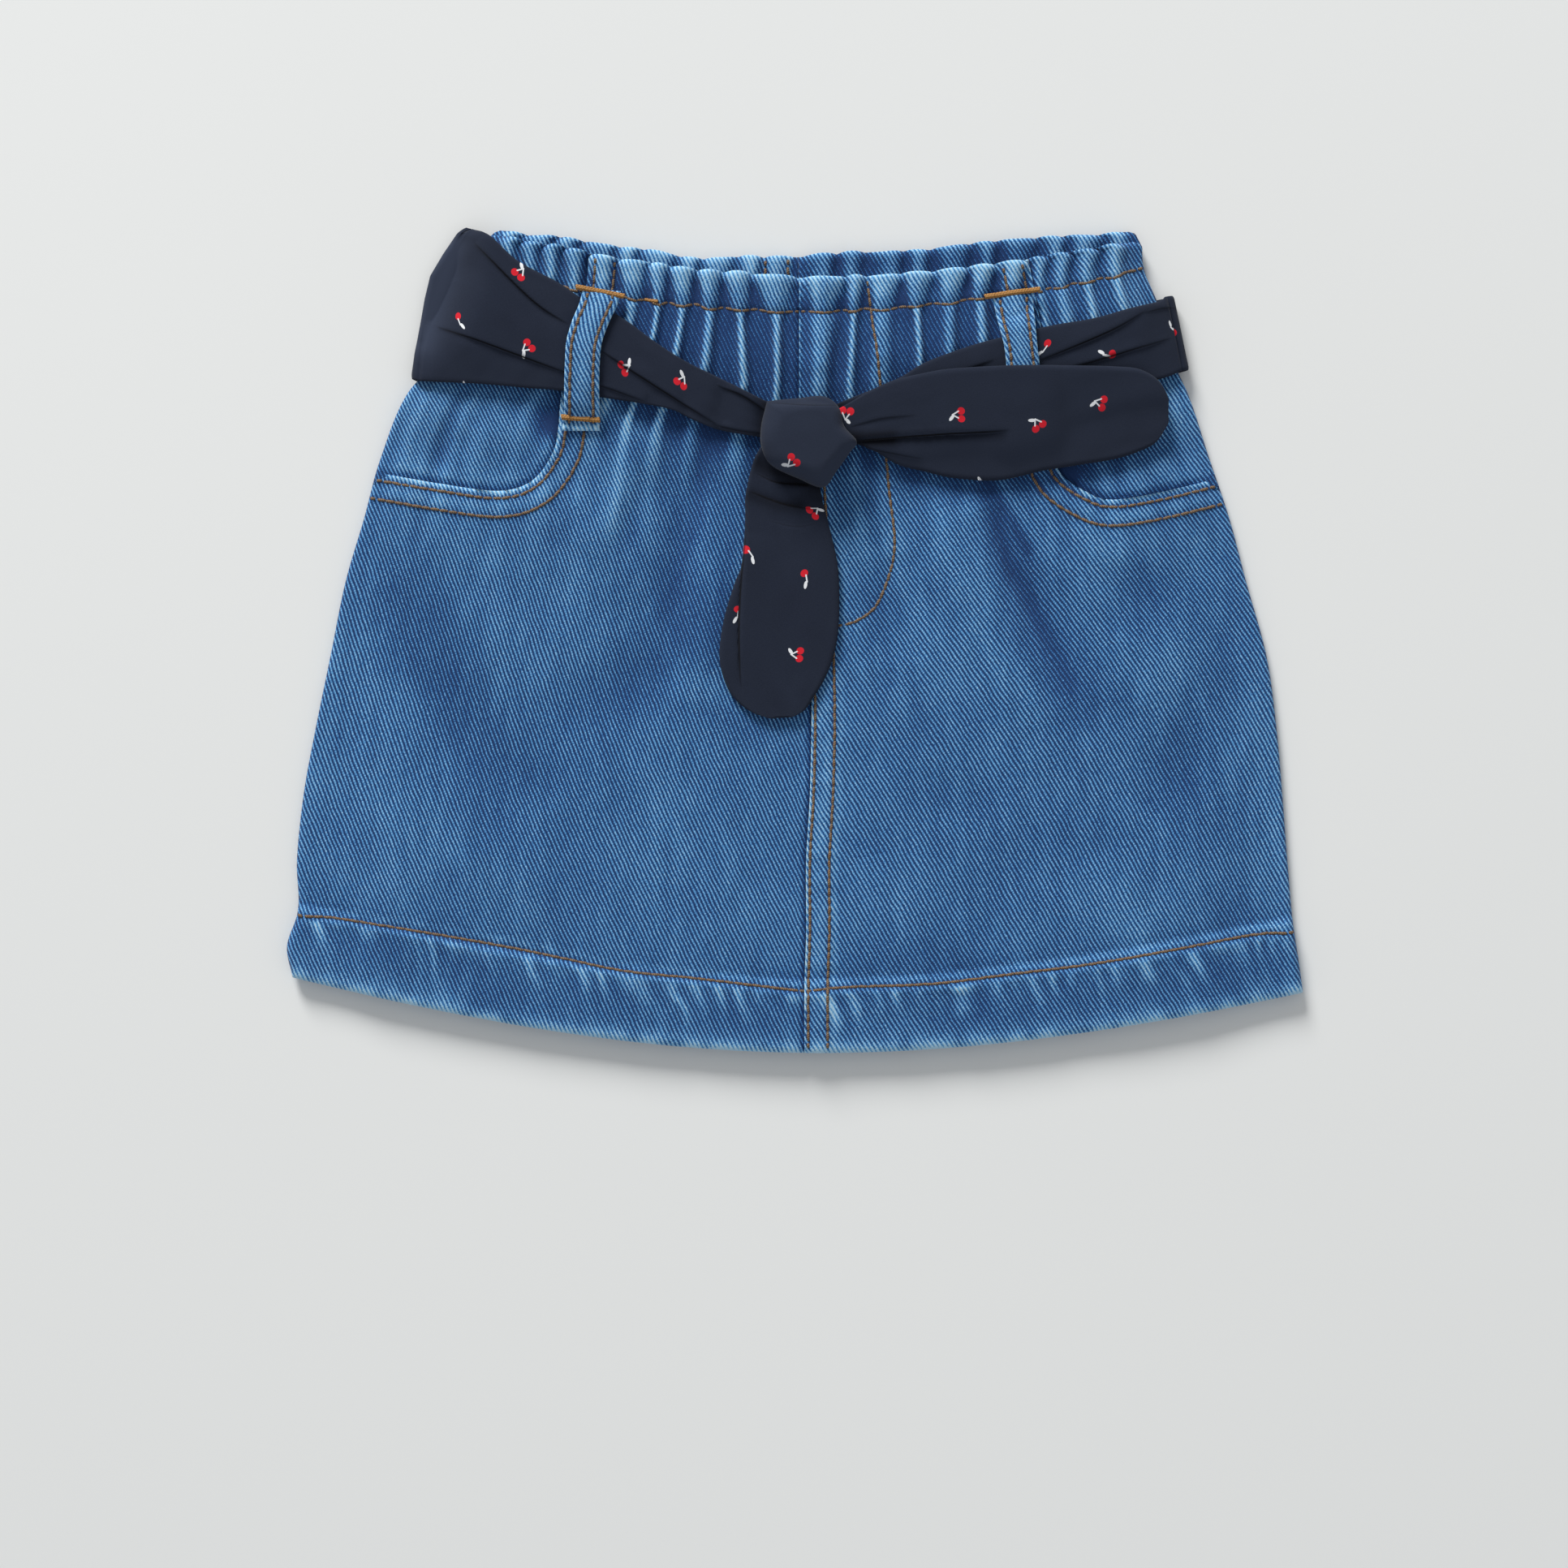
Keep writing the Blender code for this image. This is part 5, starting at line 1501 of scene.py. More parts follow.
def colour_setting(name, description, default):
    return FloatVectorProperty(
        name=name, description=description, default=default, size=3, min=0, max=1, subtype="COLOR"
    )


def number_setting(name, description, default, low, high, **kind):
    return FloatProperty(name=name, description=description, default=default, min=low, max=high, **kind)


class DenimSettings(bpy.types.PropertyGroup):
    dark: colour_setting("Dark yarn", "Colour between the ribs", (0.0075, 0.033, 0.12))
    middle: colour_setting("Middle blue", "The washed blue that shows most", (0.021, 0.11, 0.315))
    light: colour_setting("Light yarn", "Colour of the ribs", (0.113, 0.342, 0.635))
    wear_and_shading: colour_setting("Worn yarn", "Colour of worn crests and edges", (0.42, 0.66, 0.84))
    rib_contrast: number_setting("Rib contrast", "How much paler a rib is than the groove", 1.4, 0, 2)
    rib_pitch: number_setting("Rib pitch", "Millimetres from one rib to the next", 1.08, 0.5, 3)
    yarn_pitch: number_setting("Yarn pitch", "Millimetres from one pale dash to the next", 0.62, 0.3, 2)
    rib_angle: number_setting(
        "Rib angle", "Slope of the ribs to the rows", math.radians(62), 0, math.pi, subtype="ANGLE"
    )
    fade: number_setting("Fade", "How pale the wash is all over", -0.17, -1, 1)


class SashSettings(bpy.types.PropertyGroup):
    navy: colour_setting("Navy", "Colour of the cotton", (0.0105, 0.0145, 0.0275))
    navy_light: colour_setting("Light navy", "Colour of its raised threads", (0.0185, 0.025, 0.045))
    cherry: colour_setting("Cherry red", "Colour of the fruit in the print", (0.62, 0.016, 0.03))
    leaf: colour_setting("Leaf white", "Colour of the stems and leaves", (0.78, 0.8, 0.83))
    # The colours of painted shade in the creases, and of painted light where the cloth slopes from the key
    # light
    crease: colour_setting("Crease", "Colour deep in a crease", (0.0016, 0.002, 0.0045))
    lifted: colour_setting("Lifted", "Colour where soft light gathers", (0.034, 0.044, 0.074))
    print_spacing: number_setting("Print spacing", "Millimetres from one pair to the next", 24.0, 8, 60)
    print_size: number_setting("Fruit size", "Radius of a cherry in millimetres", 1.0, 0.3, 5)


class ThreadSettings(bpy.types.PropertyGroup):
    brown: colour_setting("Brown thread", "Colour of the rows of stitches", (0.25, 0.162, 0.092))
    brown_dark: colour_setting("Brown shade", "Colour between the thread's turns", (0.09, 0.056, 0.034))
    orange: colour_setting("Orange thread", "Colour of the bars of stitches", (0.46, 0.24, 0.065))
    orange_dark: colour_setting("Orange shade", "Colour between their turns", (0.28, 0.12, 0.03))
    stitch: number_setting("Stitch length", "Millimetres from one stitch to the next", 2.6, 1, 6)
    radius: number_setting("Thread radius", "Half the width of a stitch in millimetres", 0.43, 0.1, 1)


class StageSettings(bpy.types.PropertyGroup):
    board: colour_setting("Board", "Colour of the surface under the skirt", (0.83, 0.842, 0.838))
    key_watts: number_setting("Key light", "Power of the large soft light", 186.0, 0, 2000)
    fill_watts: number_setting("Fill light", "Power of the light from below", 0.8, 0, 2000)
    ambient: number_setting("Ambient", "Strength of the light all round", 0.42, 0, 10)


def denim():
    return kept_material("washed_denim", denim_finish, bpy.context.scene.skirt_denim)


def cotton():
    return kept_material("printed_cotton", cotton_finish, bpy.context.scene.skirt_sash)


def thread(colour):
    """Sewing thread: brown or orange."""
    sizes = bpy.context.scene.skirt_thread
    name = colour + "_thread"
    dark = getattr(sizes, colour + "_dark")
    return kept_material(name, thread_finish, name, getattr(sizes, colour), dark)


# Pieces

def add_denim(node, middle, wall, uv, wear_and_shading, keep=None):
    """A sheet of denim in place of a node, with its flat-cloth coordinates in millimetres and the values
    painted on its points.
    """
    obj = add_shell("denim_" + node, middle, wall, uv, denim(), keep, wear=wear_and_shading)
    ride_and_replace(obj, node)


def crest_wear_and_shade(middle, strength):
    """Wear and painted light on what stands above the cloth round it, and painted shade on what lies below
    it.
    """
    z = middle[:, :, 2]
    return np.clip((z - softened(z, 26)) * strength, -0.5, 1)


def shade_at(shades, x, y):
    """How much darker each point is painted for the soft painted shadows and shade of a table, paler under 0
    for its pale places.
    """
    dark = 0 * x
    for shade in shades:
        distance, _ = route_distance(x, y, *bent_line(shade))
        dark += shade.dark * bump(distance, 0, shade.width)
    return dark


def patches(x, y, seed):
    """Wear of the edges: how strong it is from place to place."""
    return 0.75 + 0.45 * uneven(x, y, 4, 4, seed)


# Paler towards an edge from use, and painted shadow where edge.pale is under 0
def edge_wear_and_shade(distance, edge):
    return edge.pale * np.exp(-distance / edge.reach)


def band_wear(distance, band):
    return band.pale * bump(distance, band.place, band.width)


def row_shade(distance, rows, width=0.6):
    """Painted shade in the grooves of rows of stitches, at these distances from a seam."""
    return STITCH_SHADE * sum(bump(distance, row, width) for row in rows)


def front_wear_and_shade(side, middle):
    """Wear of the front, and where shade and light are painted on it: crests, turned edges, the cloth beside
    its rows of stitches, painted shade in its valleys, folds and stitch grooves, and painted light on its
    folds' ridges.
    """
    x, y = middle[:, :, 0], middle[:, :, 1]
    down = FRONT_DOWNS[:, None] + 0 * x
    share = np.concatenate([np.zeros(len(EDGE_SHARES)), FRONT_SHARES])[None, :] + 0 * x
    patchy = patches(x, y, 21)
    crest, _, number = front_crest(side, down, share)
    thin = gather_value(side, "thin", number)
    from_stitch = down - casing_line(side, share)
    chance = uneven(x, y, 9, 24, 23)
    high = 1 - ease(down, 3, 9)
    blotch = uneven(x, y, 5, 3.5, 26)
    heading = (0.3 + 0.3 * high + 0.35 * blotch) * ease(crest, 0.2, 0.8) + 0.17
    # Painted shade in the heading's valleys, and just above the casing stitch
    hollow = (1 - ease(crest, 0.02, 0.6)) * ease(down + 1.5 * uneven(x, 0 * x, 6, 1, 29), 0.3, 3)
    hollow = hollow * np.clip(0.9 + 0.9 * uneven(x, down, 7, 9, 31), 0.2, 1.6)
    heading = heading - 0.85 * hollow - 0.3 * bump(from_stitch, -2, 1.8) * (1 + blotch)
    # Crests paler from use, and painted shade in the valleys between them
    casing = (1.7 * np.clip(0.35 + thin / 6, 0.4, 1) + 0.4 * chance) * ease(crest, 0.25, 0.95) - 0.72
    gathered = 1 - ease(down, 34, 62)
    wear_and_shading = gathered * (heading + (casing - heading) * ease(from_stitch, -0.6, 0.8))
    wear_and_shading += crest_wear_and_shade(middle, 0.45) * (1 - 0.7 * gathered)
    # Painted light on the ridges of the folds and painted shade in their troughs; the low gathers get the
    # same, with their crests also paler from use
    folds = fold_heights(x, y, FOLDS) + 1.6 * fold_heights(x, y, SMALL_FOLDS)
    wear_and_shading += 0.16 * folds * ease(down, 44, 60)
    wear_and_shading += 0.2 * (crest - 0.45) * ease(down, 40, 56) * (1 - ease(down, 62, 104))
    # The painted shadows, painted shade and paler places of the table
    wear_and_shading -= shade_at(SHADES, x, y)
    wear_and_shading += patchy * (edge_wear_and_shade(down, TOP_WORN) + edge_wear_and_shade(LENGTH - down, HEM_WORN))
    level = hem_level(side, down, share)
    wear_and_shading += patchy * band_wear(level - HEM_DOWN, OVER_HEM_BAND)
    wear_and_shading += 1.6 * (hem_ropes(x, level) - 0.1) * ease(level, HEM_DOWN + 0.6, HEM_DOWN + 2)
    # Painted shade in the grooves of the hem's and the casing's stitches
    wear_and_shading = wear_and_shading - row_shade(level, (HEM_DOWN,), 0.7) - row_shade(from_stitch, (0,), 0.7)
    outside, _ = outside_pocket(side, x, y)
    wear_and_shading += 1.3 * patchy * (1 - ease(outside, 0.6, 1.3))
    wear_and_shading = wear_and_shading - row_shade(outside, POCKET_ROWS) + patchy * band_wear(outside, POCKET_WORN_BAND)
    from_seam = side * (x - row_value("seam_x", down))
    if side > 0:
        wear_and_shading -= row_shade(from_seam, LAP_ROWS) * ease(down, LAP_ROWS_START - 2, LAP_ROWS_START + 2)
        wear_and_shading += patchy * (edge_wear_and_shade(from_seam, LAP_WORN) + band_wear(from_seam, LAP_BAND))
        wear_and_shading += patchy * band_wear(from_seam, BESIDE_LAP_BAND) * ease(down, 96, 120)
    else:
        # Painted shadow on the left front beside the centre lap's edge
        wear_and_shading += edge_wear_and_shade(np.maximum(from_seam, 0), SHADOW_UNDER_LAP) * ease(down, 38, 60)
    return wear_and_shading


def add_backs():
    for word, side in SIDES:
        middle, wall = panel_grid(False, side, BACK_DOWNS, BACK_SHARES)
        uv = panel_cloth(False, side, BACK_DOWNS, BACK_SHARES)
        x, y = middle[:, :, 0], middle[:, :, 1]
        down = BACK_DOWNS[:, None] + 0 * x
        wear_and_shading = edge_wear_and_shade(down, BACK_TOP_WORN) + edge_wear_and_shade(LENGTH - down, BACK_HEM_WORN)
        # Crests paler from use with painted shade below them, pale edges, and the painted shade and paler
        # places of the back's table
        wear_and_shading = crest_wear_and_shade(middle, 1.6) + patches(x, y, 22) * wear_and_shading - shade_at(BACK_SHADES, x, y)
        if side < 0:
            from_seam = row_value("seam_x", down) - x
            wear_and_shading += sum(band_wear(from_seam, band) for band in BACK_SEAM_BANDS)
        wall = tapered(wall, columns=False)
        add_denim("back_" + word, middle, wall, uv, wear_and_shading)


def pocket_opening(side, middle):
    """The quads outside the pocket's opening, with the points next to it moved onto its edge."""
    x, y = middle[:, :, 0], middle[:, :, 1]
    outside, along = outside_pocket(side, x, y, POCKET_STEPS)
    inside = outside < 0
    quads = grid_quads(*x.shape)
    keep = ~inside.ravel()[quads].all(axis=1)
    border = np.zeros(x.size, bool)
    border[quads[keep].ravel()] = True
    border = border.reshape(x.shape) & inside
    route = np.stack(offset_route(pocket_of(side), 0, POCKET_STEPS), axis=1)
    moved = middle.copy()
    for axis in range(2):
        moved[border, axis] = np.interp(along[border], distances(route), route[:, axis])
    return moved, keep, np.abs(outside)


def add_fronts():
    for word, side in SIDES:
        middle, wall = front_grid(side)
        uv = panel_cloth(True, side, FRONT_DOWNS, FRONT_SHARES)
        moved, keep, from_edge = pocket_opening(side, middle)
        uv += (moved - middle)[:, :, :2]
        wall = tapered(wall, columns=False) * (0.5 + 0.5 * ease(from_edge, 0, 1.2))
        wear_and_shading = front_wear_and_shade(side, moved)
        add_denim("front_" + word, moved, wall, uv, wear_and_shading, keep)


def add_yokes():
    for word, side in SIDES:
        middle, wall = panel_grid(True, side, YOKE_DOWNS, YOKE_SHARES, YOKE_DROP)
        uv = panel_cloth(True, side, YOKE_DOWNS, YOKE_SHARES, YOKE_DROP) + 31.0
        x, y = middle[:, :, 0], middle[:, :, 1]
        outside, _ = outside_pocket(side, x, y, POCKET_STEPS)
        shown = (outside < YOKE_UNDER).ravel()
        keep = shown[grid_quads(*x.shape)].all(axis=1)
        # Crests paler from use with painted shade below them, painted shadow of the pocket's turned edge on
        # the yoke, and the table's painted shadows and paler places
        wear_and_shading = crest_wear_and_shade(middle, 0.9) + 0.12 - 0.5 * (1 - ease(-outside, 0.2, 2.4)) - shade_at(SHADES, x, y)
        # Painted shadow where the pocket's edge gapes
        for gape in GAPES:
            wear_and_shading -= GAPE_DARK * bump(np.hypot(x - gape.x, y - gape.y), 0, GAPE_REACH)
        add_denim("pocket_yoke_" + word, middle, wall, uv, wear_and_shading, keep)


def add_loops():
    for (word, _), middle in zip(SIDES, loop_grids()):
        middle = middle.copy()
        across = np.linspace(0, 1, middle.shape[1])[None, :]
        for row in LOOP_ROWS:
            middle[:, :, 2] -= LOOP_NIP * bump(across, row, 0.05)
        middle[:, :, 2] += LOOP_CROWN * bump(across, 0.5, 0.22)
        wall = tapered(np.full(middle.shape[:2], LOOP_WALL))
        uv = strip_cloth(middle)[:, :, ::-1] * [1, -1] + [3.0 if word == "left" else 40.0, 0]
        wear_and_shading = 0.85 * (np.exp(-across / 0.05) + np.exp(-(1 - across) / 0.05)) + 0.25 * bump(across, 0.5, 0.2)
        wear_and_shading = wear_and_shading + 0.25 - 0.35 * sum(bump(across, row, 0.06) for row in LOOP_ROWS) + 0 * middle[:, :, 2]
        patchy = 0.7 + 0.5 * uneven(middle[:, :, 0], middle[:, :, 1], 1.5, 1.5, 24)
        wear_and_shading[-5:] += 1.2 * patchy[-5:]
        add_denim("belt_loop_" + word, middle, wall, uv, wear_and_shading)


def paint_creases(creases, shades, x, y):
    """What the cotton's colour is painted with: distance to a crease, how dark the painted shade of its line
    is, and the painted shade and light of a table.
    """
    nearest, shown = crease_lines(creases, x, y)
    return {"crease": nearest, "wear": shown, "shade": shade_at(shades, x, y)}


def lifted(normals):
    """How much paler the cotton is drawn where it slopes away from the light."""
    return LIFT * np.clip(LIFT_WAY[0] * normals[:, :, 0] + LIFT_WAY[1] * normals[:, :, 1], 0, 1)


def add_cotton(node, middle, wall, shift, creases=(), shades=()):
    """A sheet of printed cotton in place of a node. shift moves the print on it."""
    uv = strip_cloth(middle) + shift
    wall = tapered(np.full(middle.shape[:2], wall))
    normals = grid_normals(middle)
    painted = paint_creases(creases, shades, middle[:, :, 0], middle[:, :, 1])
    painted["shade"] = painted["shade"] - lifted(normals)
    obj = add_shell("cotton_" + node, middle, wall, uv, cotton(), outward=normals, **painted)
    ride_and_replace(obj, node)


def add_sash():
    stations = (moved_in(-1, SASH_LEFT[0], UNDER_REACH + GAP),) + SASH_BACK
    stations += (moved_in(1, SASH_RIGHT[0], UNDER_REACH + GAP),)
    _, _, x, y = strip_places(stations, (120, 24))
    back = np.stack([x, y, SASH_WALL / 2 + 0 * x], axis=2)
    add_cotton("sash_back", back, SASH_WALL, (0, 0))
    (left, _), (right, _) = sash_grids()
    add_cotton(
        "sash_left", left, SASH_WALL, (5, 2),
        SASH_LEFT_CREASES, SASH_LEFT_SHADES,
    )
    add_cotton(
        "sash_right", right, SASH_WALL, (260, 7),
        SASH_RIGHT_CREASES, SASH_RIGHT_SHADES,
    )


def add_tails():
    right, down = tail_grids()
    add_cotton(
        "sash_tail_right", right, TAIL_WALL, (410, 4),
        TAIL_RIGHT_CREASES, TAIL_RIGHT_SHADES,
    )
    add_cotton(
        "sash_tail_down", down, TAIL_WALL, (620, -3),
        TAIL_DOWN_CREASES, TAIL_DOWN_SHADES,
    )


def rounded(values, times):
    """Values round a closed outline, averaged with their neighbours this many times."""
    for _ in range(times):
        values = (np.roll(values, 1) + 2 * values + np.roll(values, -1)) / 4
    return values


def add_knot():
    """The knot: a closed cushion of wound cloth, with a crease where each turn goes under the next."""
    support = np.concatenate(
        [front_support(), sash_support()] + [top_points(grid, TAIL_WALL) for grid in tail_grids()]
    )
    closed = KNOT_OUTLINE + KNOT_OUTLINE[:1]
    count = np.arange(len(closed))
    at = np.linspace(0, count[-1], KNOT_SEGMENTS, endpoint=False)
    rim_x = smooth(count, [point.x for point in closed], at)
    rim_y = smooth(count, [point.y for point in closed], at)
    centre_x, centre_y = rim_x.mean(), rim_y.mean()
    round_x, round_y = rounded(rim_x, KNOT_SOFTENING), rounded(rim_y, KNOT_SOFTENING)
    level = lie_on(np.array([centre_x]), np.array([centre_y]), support, 60.0) + GAP
    rings = []
    for number, share in enumerate(KNOT_UNDER + KNOT_OVER):
        at_rim = ease(share, 0.5, 1)
        x = centre_x + (round_x + (rim_x - round_x) * at_rim - centre_x) * share
        y = centre_y + (round_y + (rim_y - round_y) * at_rim - centre_y) * share
        z = lie_on(x, y, support, 14.0) + GAP
        if number >= len(KNOT_UNDER):
            level_in = 1 - min((1 - share) / KNOT_ROUNDING, 1)
            z = z + KNOT_FOOT + (level + KNOT_RIM - z - KNOT_FOOT) * math.sqrt(1 - level_in**2)
            behind = KNOT_BEHIND * ease(y, KNOT_TURN_Y - 0.8, KNOT_TURN_Y + 0.8)
            inner = ease(1 - share, 0.02, 0.14)
            z = z + KNOT_HEIGHT * (1 - share**2) - behind * inner
            z += inner * (crease_height(KNOT_CREASES, x, y) + cotton_wrinkles(x, y, 71))
        rings.append(np.stack([x, y, z], axis=1))
    points = np.concatenate(rings)
    faces = tube_faces(0, len(rings), KNOT_SEGMENTS)
    obj = link_mesh("cotton_sash_knot", points, faces, cotton())
    painted = paint_creases(KNOT_CREASES, (), points[:, 0], points[:, 1])
    painted["shade"] = -lifted(grid_normals(np.stack(rings))).ravel() - KNOT_PALER
    paint_cloth(obj, points[:, :2] + [816.9, 8.8], **painted)
    ride_and_replace(obj, "sash_knot")


# Stitches

# A stitch along its length, as shares of its half length, and its thickness and height there
STITCH_RINGS = ((-1, 0.6, -0.35), (-0.8, 0.95, 0.05), (0, 1.0, 0.35), (0.8, 0.95, 0.05), (1, 0.6, -0.35))
STITCH_SIDES = 6
# Half lengths of stitches as shares of the pitch, how much shorter a row's first and last are, and
# how far a stitch may turn from its row
HALF_STITCH = (0.49, 0.55)
END_STITCH = 0.55
STITCH_TURN = 0.1
# Bars: from one stitch to the next, how far each leans to and fro, and how far they are raised
BAR_PITCH = 0.42
BAR_LEAN = 0.3
BAR_RAISED = 0.1
# How far the hem's row is raised in its groove
HEM_ROW_RAISED = 0.2
# How far round the side edge rows across the front and along the pocket go
ROW_TURNED = 0.9
POCKET_ROW_TURNED = 0.92
ROUTE_POINTS = 700


def walk(points, pitch):
    """Places at equal steps along a route of points, and the way that it runs there."""
    gone = distances(points)
    count = max(int(gone[-1] / pitch), 1)
    at = (np.arange(count) + 0.5) * gone[-1] / count
    reach = 0.35 * pitch
    places = [np.interp(at, gone, points[:, axis]) for axis in range(3)]
    ahead = [np.interp(at + reach, gone, points[:, axis]) for axis in range(3)]
    behind = [np.interp(at - reach, gone, points[:, axis]) for axis in range(3)]
    ways = np.stack(ahead, axis=1) - np.stack(behind, axis=1)
    return np.stack(places, axis=1), ways / np.linalg.norm(ways, axis=1, keepdims=True)


def sew(places, ways, half_lengths, radius):
    """Points, faces and coordinates of one small rounded stitch at each place."""
    up = np.array([0, 0, 1]) - ways * ways[:, 2:3]
    up /= np.linalg.norm(up, axis=1, keepdims=True)
    beside = np.cross(ways, up)
    points, faces, uv = [], [], []
    angles = np.arange(STITCH_SIDES) * 2 * math.pi / STITCH_SIDES
    rings = len(STITCH_RINGS)
    for number, (place, way, rise, sideways) in enumerate(zip(places, ways, up, beside)):
        for along, thick, lift in STITCH_RINGS:
            centre = place + way * along * half_lengths[number] + rise * lift * radius
            for angle in angles:
                out = sideways * math.cos(angle) + rise * 0.8 * math.sin(angle)
                points.append(centre + out * thick * radius)
                uv.append((along * half_lengths[number], angle / 3))
        # The angles go clockwise about the stitch's way, so its faces are turned round
        faces += [face[::-1] for face in tube_faces(number * rings * STITCH_SIDES, rings, STITCH_SIDES)]
    return np.array(points), faces, np.array(uv)


def add_stitches(name, material, sewn):
    """One object for many stitches. sewn holds the places, ways and half lengths of each row."""
    places, ways, half_lengths = (np.concatenate(parts) for parts in zip(*sewn))
    points, faces, uv = sew(places, ways, half_lengths, bpy.context.scene.skirt_thread.radius)
    obj = link_mesh(name, points, faces, material)
    paint_cloth(obj, uv)
    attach(obj, "root")


def stitch_row(points, seed):
    """A row of stitches on a route of points, each a little out of true."""
    pitch = bpy.context.scene.skirt_thread.stitch
    places, ways = walk(points, pitch)
    chance = np.random.default_rng(seed)
    ways += np.cross(ways, [0, 0, 1]) * chance.uniform(-STITCH_TURN, STITCH_TURN, (len(ways), 1))
    ways /= np.linalg.norm(ways, axis=1, keepdims=True)
    half_lengths = pitch * chance.uniform(*HALF_STITCH, len(places))
    half_lengths[[0, -1]] *= END_STITCH
    return places, ways, half_lengths


def bar_row(bar):
    """A bar of close stitches across its own line."""
    length = math.hypot(bar.x1 - bar.x0, bar.y1 - bar.y0)
    count = int(length / BAR_PITCH)
    share = (np.arange(count) + 0.5) / count
    x, y = bar.x0 + (bar.x1 - bar.x0) * share, bar.y0 + (bar.y1 - bar.y0) * share
    way = np.array([-(bar.y1 - bar.y0), bar.x1 - bar.x0, 0]) / length
    lean = np.where(np.arange(count) % 2, BAR_LEAN, -BAR_LEAN)[:, None]
    ways = way + lean * np.array([way[1], -way[0], 0])
    ways /= np.linalg.norm(ways, axis=1, keepdims=True)
    return both_fronts(x, y) + [0, 0, BAR_RAISED], ways, np.full(count, bar.width / 2)


def both_fronts(x, y):
    """Points on top of the fronts, whichever is under each place."""
    seam = row_value("seam_x", np.clip(TOP_EDGE_Y - y, 0, LENGTH))
    left, right = on_front(-1, x, y), on_front(1, x, y)
    return np.where((x < seam)[:, None], left, right)


def nearest_height(grid, x, y):
    """Heights of the nearest points of a fine grid."""
    flat = grid.reshape(-1, 3)
    away = (x[:, None] - flat[None, :, 0]) ** 2 + (y[:, None] - flat[None, :, 1]) ** 2
    return flat[away.argmin(axis=1), 2]


def row_across_front(side, line, drop=0.0):
    """A route along a line across the front, from round its side edge to the seam."""
    share = np.linspace(0, 1, ROUTE_POINTS)
    down = line(side, share)
    x, y, z = panel_points(True, side, down, share, drop)
    z += front_wall(side, down, share) / 2
    turned = np.linspace(ROW_TURNED, 0.05, 12)
    radius, _ = edge_roll(down[:1])
    edge_y = side_edge(side, "y", down[0])
    x = np.concatenate([x[0] + side * radius * turned, x])
    y = np.concatenate([y[0] + (edge_y - y[0]) * turned, y])
    z = np.concatenate([z[0] - edge_fall(down[:1], turned), z])
    return np.stack([x, y, z], axis=1)


def beside_pocket(side, points, way):
    """The part of a route that lies outside the pocket's opening, or in it where way is under 0."""
    outside, _ = outside_pocket(side, points[:, 0], points[:, 1])
    return points[way * outside > 0.3]


def front_rows(side):
    """All the rows of brown stitches on one front panel."""
    hem = row_across_front(side, hem_line) + [0, 0, HEM_ROW_RAISED]
    rows = [hem, beside_pocket(side, row_across_front(side, casing_line), 1)]
    rows.append(beside_pocket(side, row_across_front(side, casing_line, YOKE_DROP), -1))
    for offset in POCKET_ROWS:
        x, y = offset_route(pocket_of(side), -side * offset, 20)
        down, _, turned = find_on_panel(side, x, y)
        shown = (down > 0.5) & (turned < POCKET_ROW_TURNED)
        rows.append(on_front(side, x[shown], y[shown]))
    if side > 0:
        down = np.linspace(LAP_ROWS_START, LENGTH - 0.8, ROUTE_POINTS)
        for offset in LAP_ROWS:
            x = row_value("seam_x", down) + offset
            rows.append(on_front(side, x, TOP_EDGE_Y - down))
        rows.append(on_front(side, *offset_route(FLY_ROW, 0, 20)))
    return rows


def add_front_stitches():
    for word, side in SIDES:
        sewn = [stitch_row(row, 100 + number) for number, row in enumerate(front_rows(side))]
        add_stitches("stitches_front_" + word, thread("brown"), sewn)


def on_back(side, down, share):
    """Points on top of a back panel."""
    x, y, z = panel_points(False, side, down, share)
    return np.stack([x, y, z + wall_at(down) / 2], axis=1)


def add_back_stitches():
    down = np.linspace(0.5, 16, 60)
    rows = [on_back(-1, down, 1 - offset / np.abs(row_value("left_x", down))) for offset in BACK_ROWS]
    share = np.linspace(0.01, 1, 500)
    rows += [on_back(side, HEM_DOWN + 0 * share, share) for _, side in SIDES]
    add_stitches("stitches_back", thread("brown"), [stitch_row(row, 120 + k) for k, row in enumerate(rows)])


def add_loop_stitches():
    for (word, _), middle in zip(SIDES, loop_grids()):
        top = middle + [0, 0, LOOP_WALL / 2 - 0.2]
        sewn = []
        for number, share in enumerate(LOOP_ROWS):
            column = share * (top.shape[1] - 1)
            low = int(column)
            line = top[2:-4, low] * (1 - column + low) + top[2:-4, low + 1] * (column - low)
            sewn.append(stitch_row(line, 140 + number))
        add_stitches("stitches_loop_" + word, thread("brown"), sewn)


def add_bars():
    sewn = [bar_row(bar) for bar in HEADING_BARS]
    loops = loop_grids()
    for row, loop in zip(sewn, loops):
        on_loop = nearest_height(loop, row[0][:, 0], row[0][:, 1]) + LOOP_WALL / 2
        row[0][:, 2] = np.maximum(row[0][:, 2], on_loop)
    for bar in LOOP_BARS:
        places, ways, half_lengths = bar_row(bar)
        places[:, 2] = nearest_height(loops[0], places[:, 0], places[:, 1]) + LOOP_WALL / 2 + BAR_RAISED
        sewn.append((places, ways, half_lengths))
    add_stitches("stitches_bars", thread("orange"), sewn)


# Stage

def add_area_light(name, watts, size, place, colour):
    """A soft round light aimed at the middle of the skirt."""
    data = bpy.data.lights.new(name, "AREA")
    data.shape = "DISK"
    data.size = size
    data.energy = watts
    data.color = colour
    lamp = add_object(name, data)
    lamp.location = place
    aim = -np.array(place)
    lamp.rotation_mode = "XYZ"
    lamp.rotation_euler = (math.acos(-aim[2] / np.linalg.norm(aim)), 0, math.atan2(-aim[0], aim[1]))


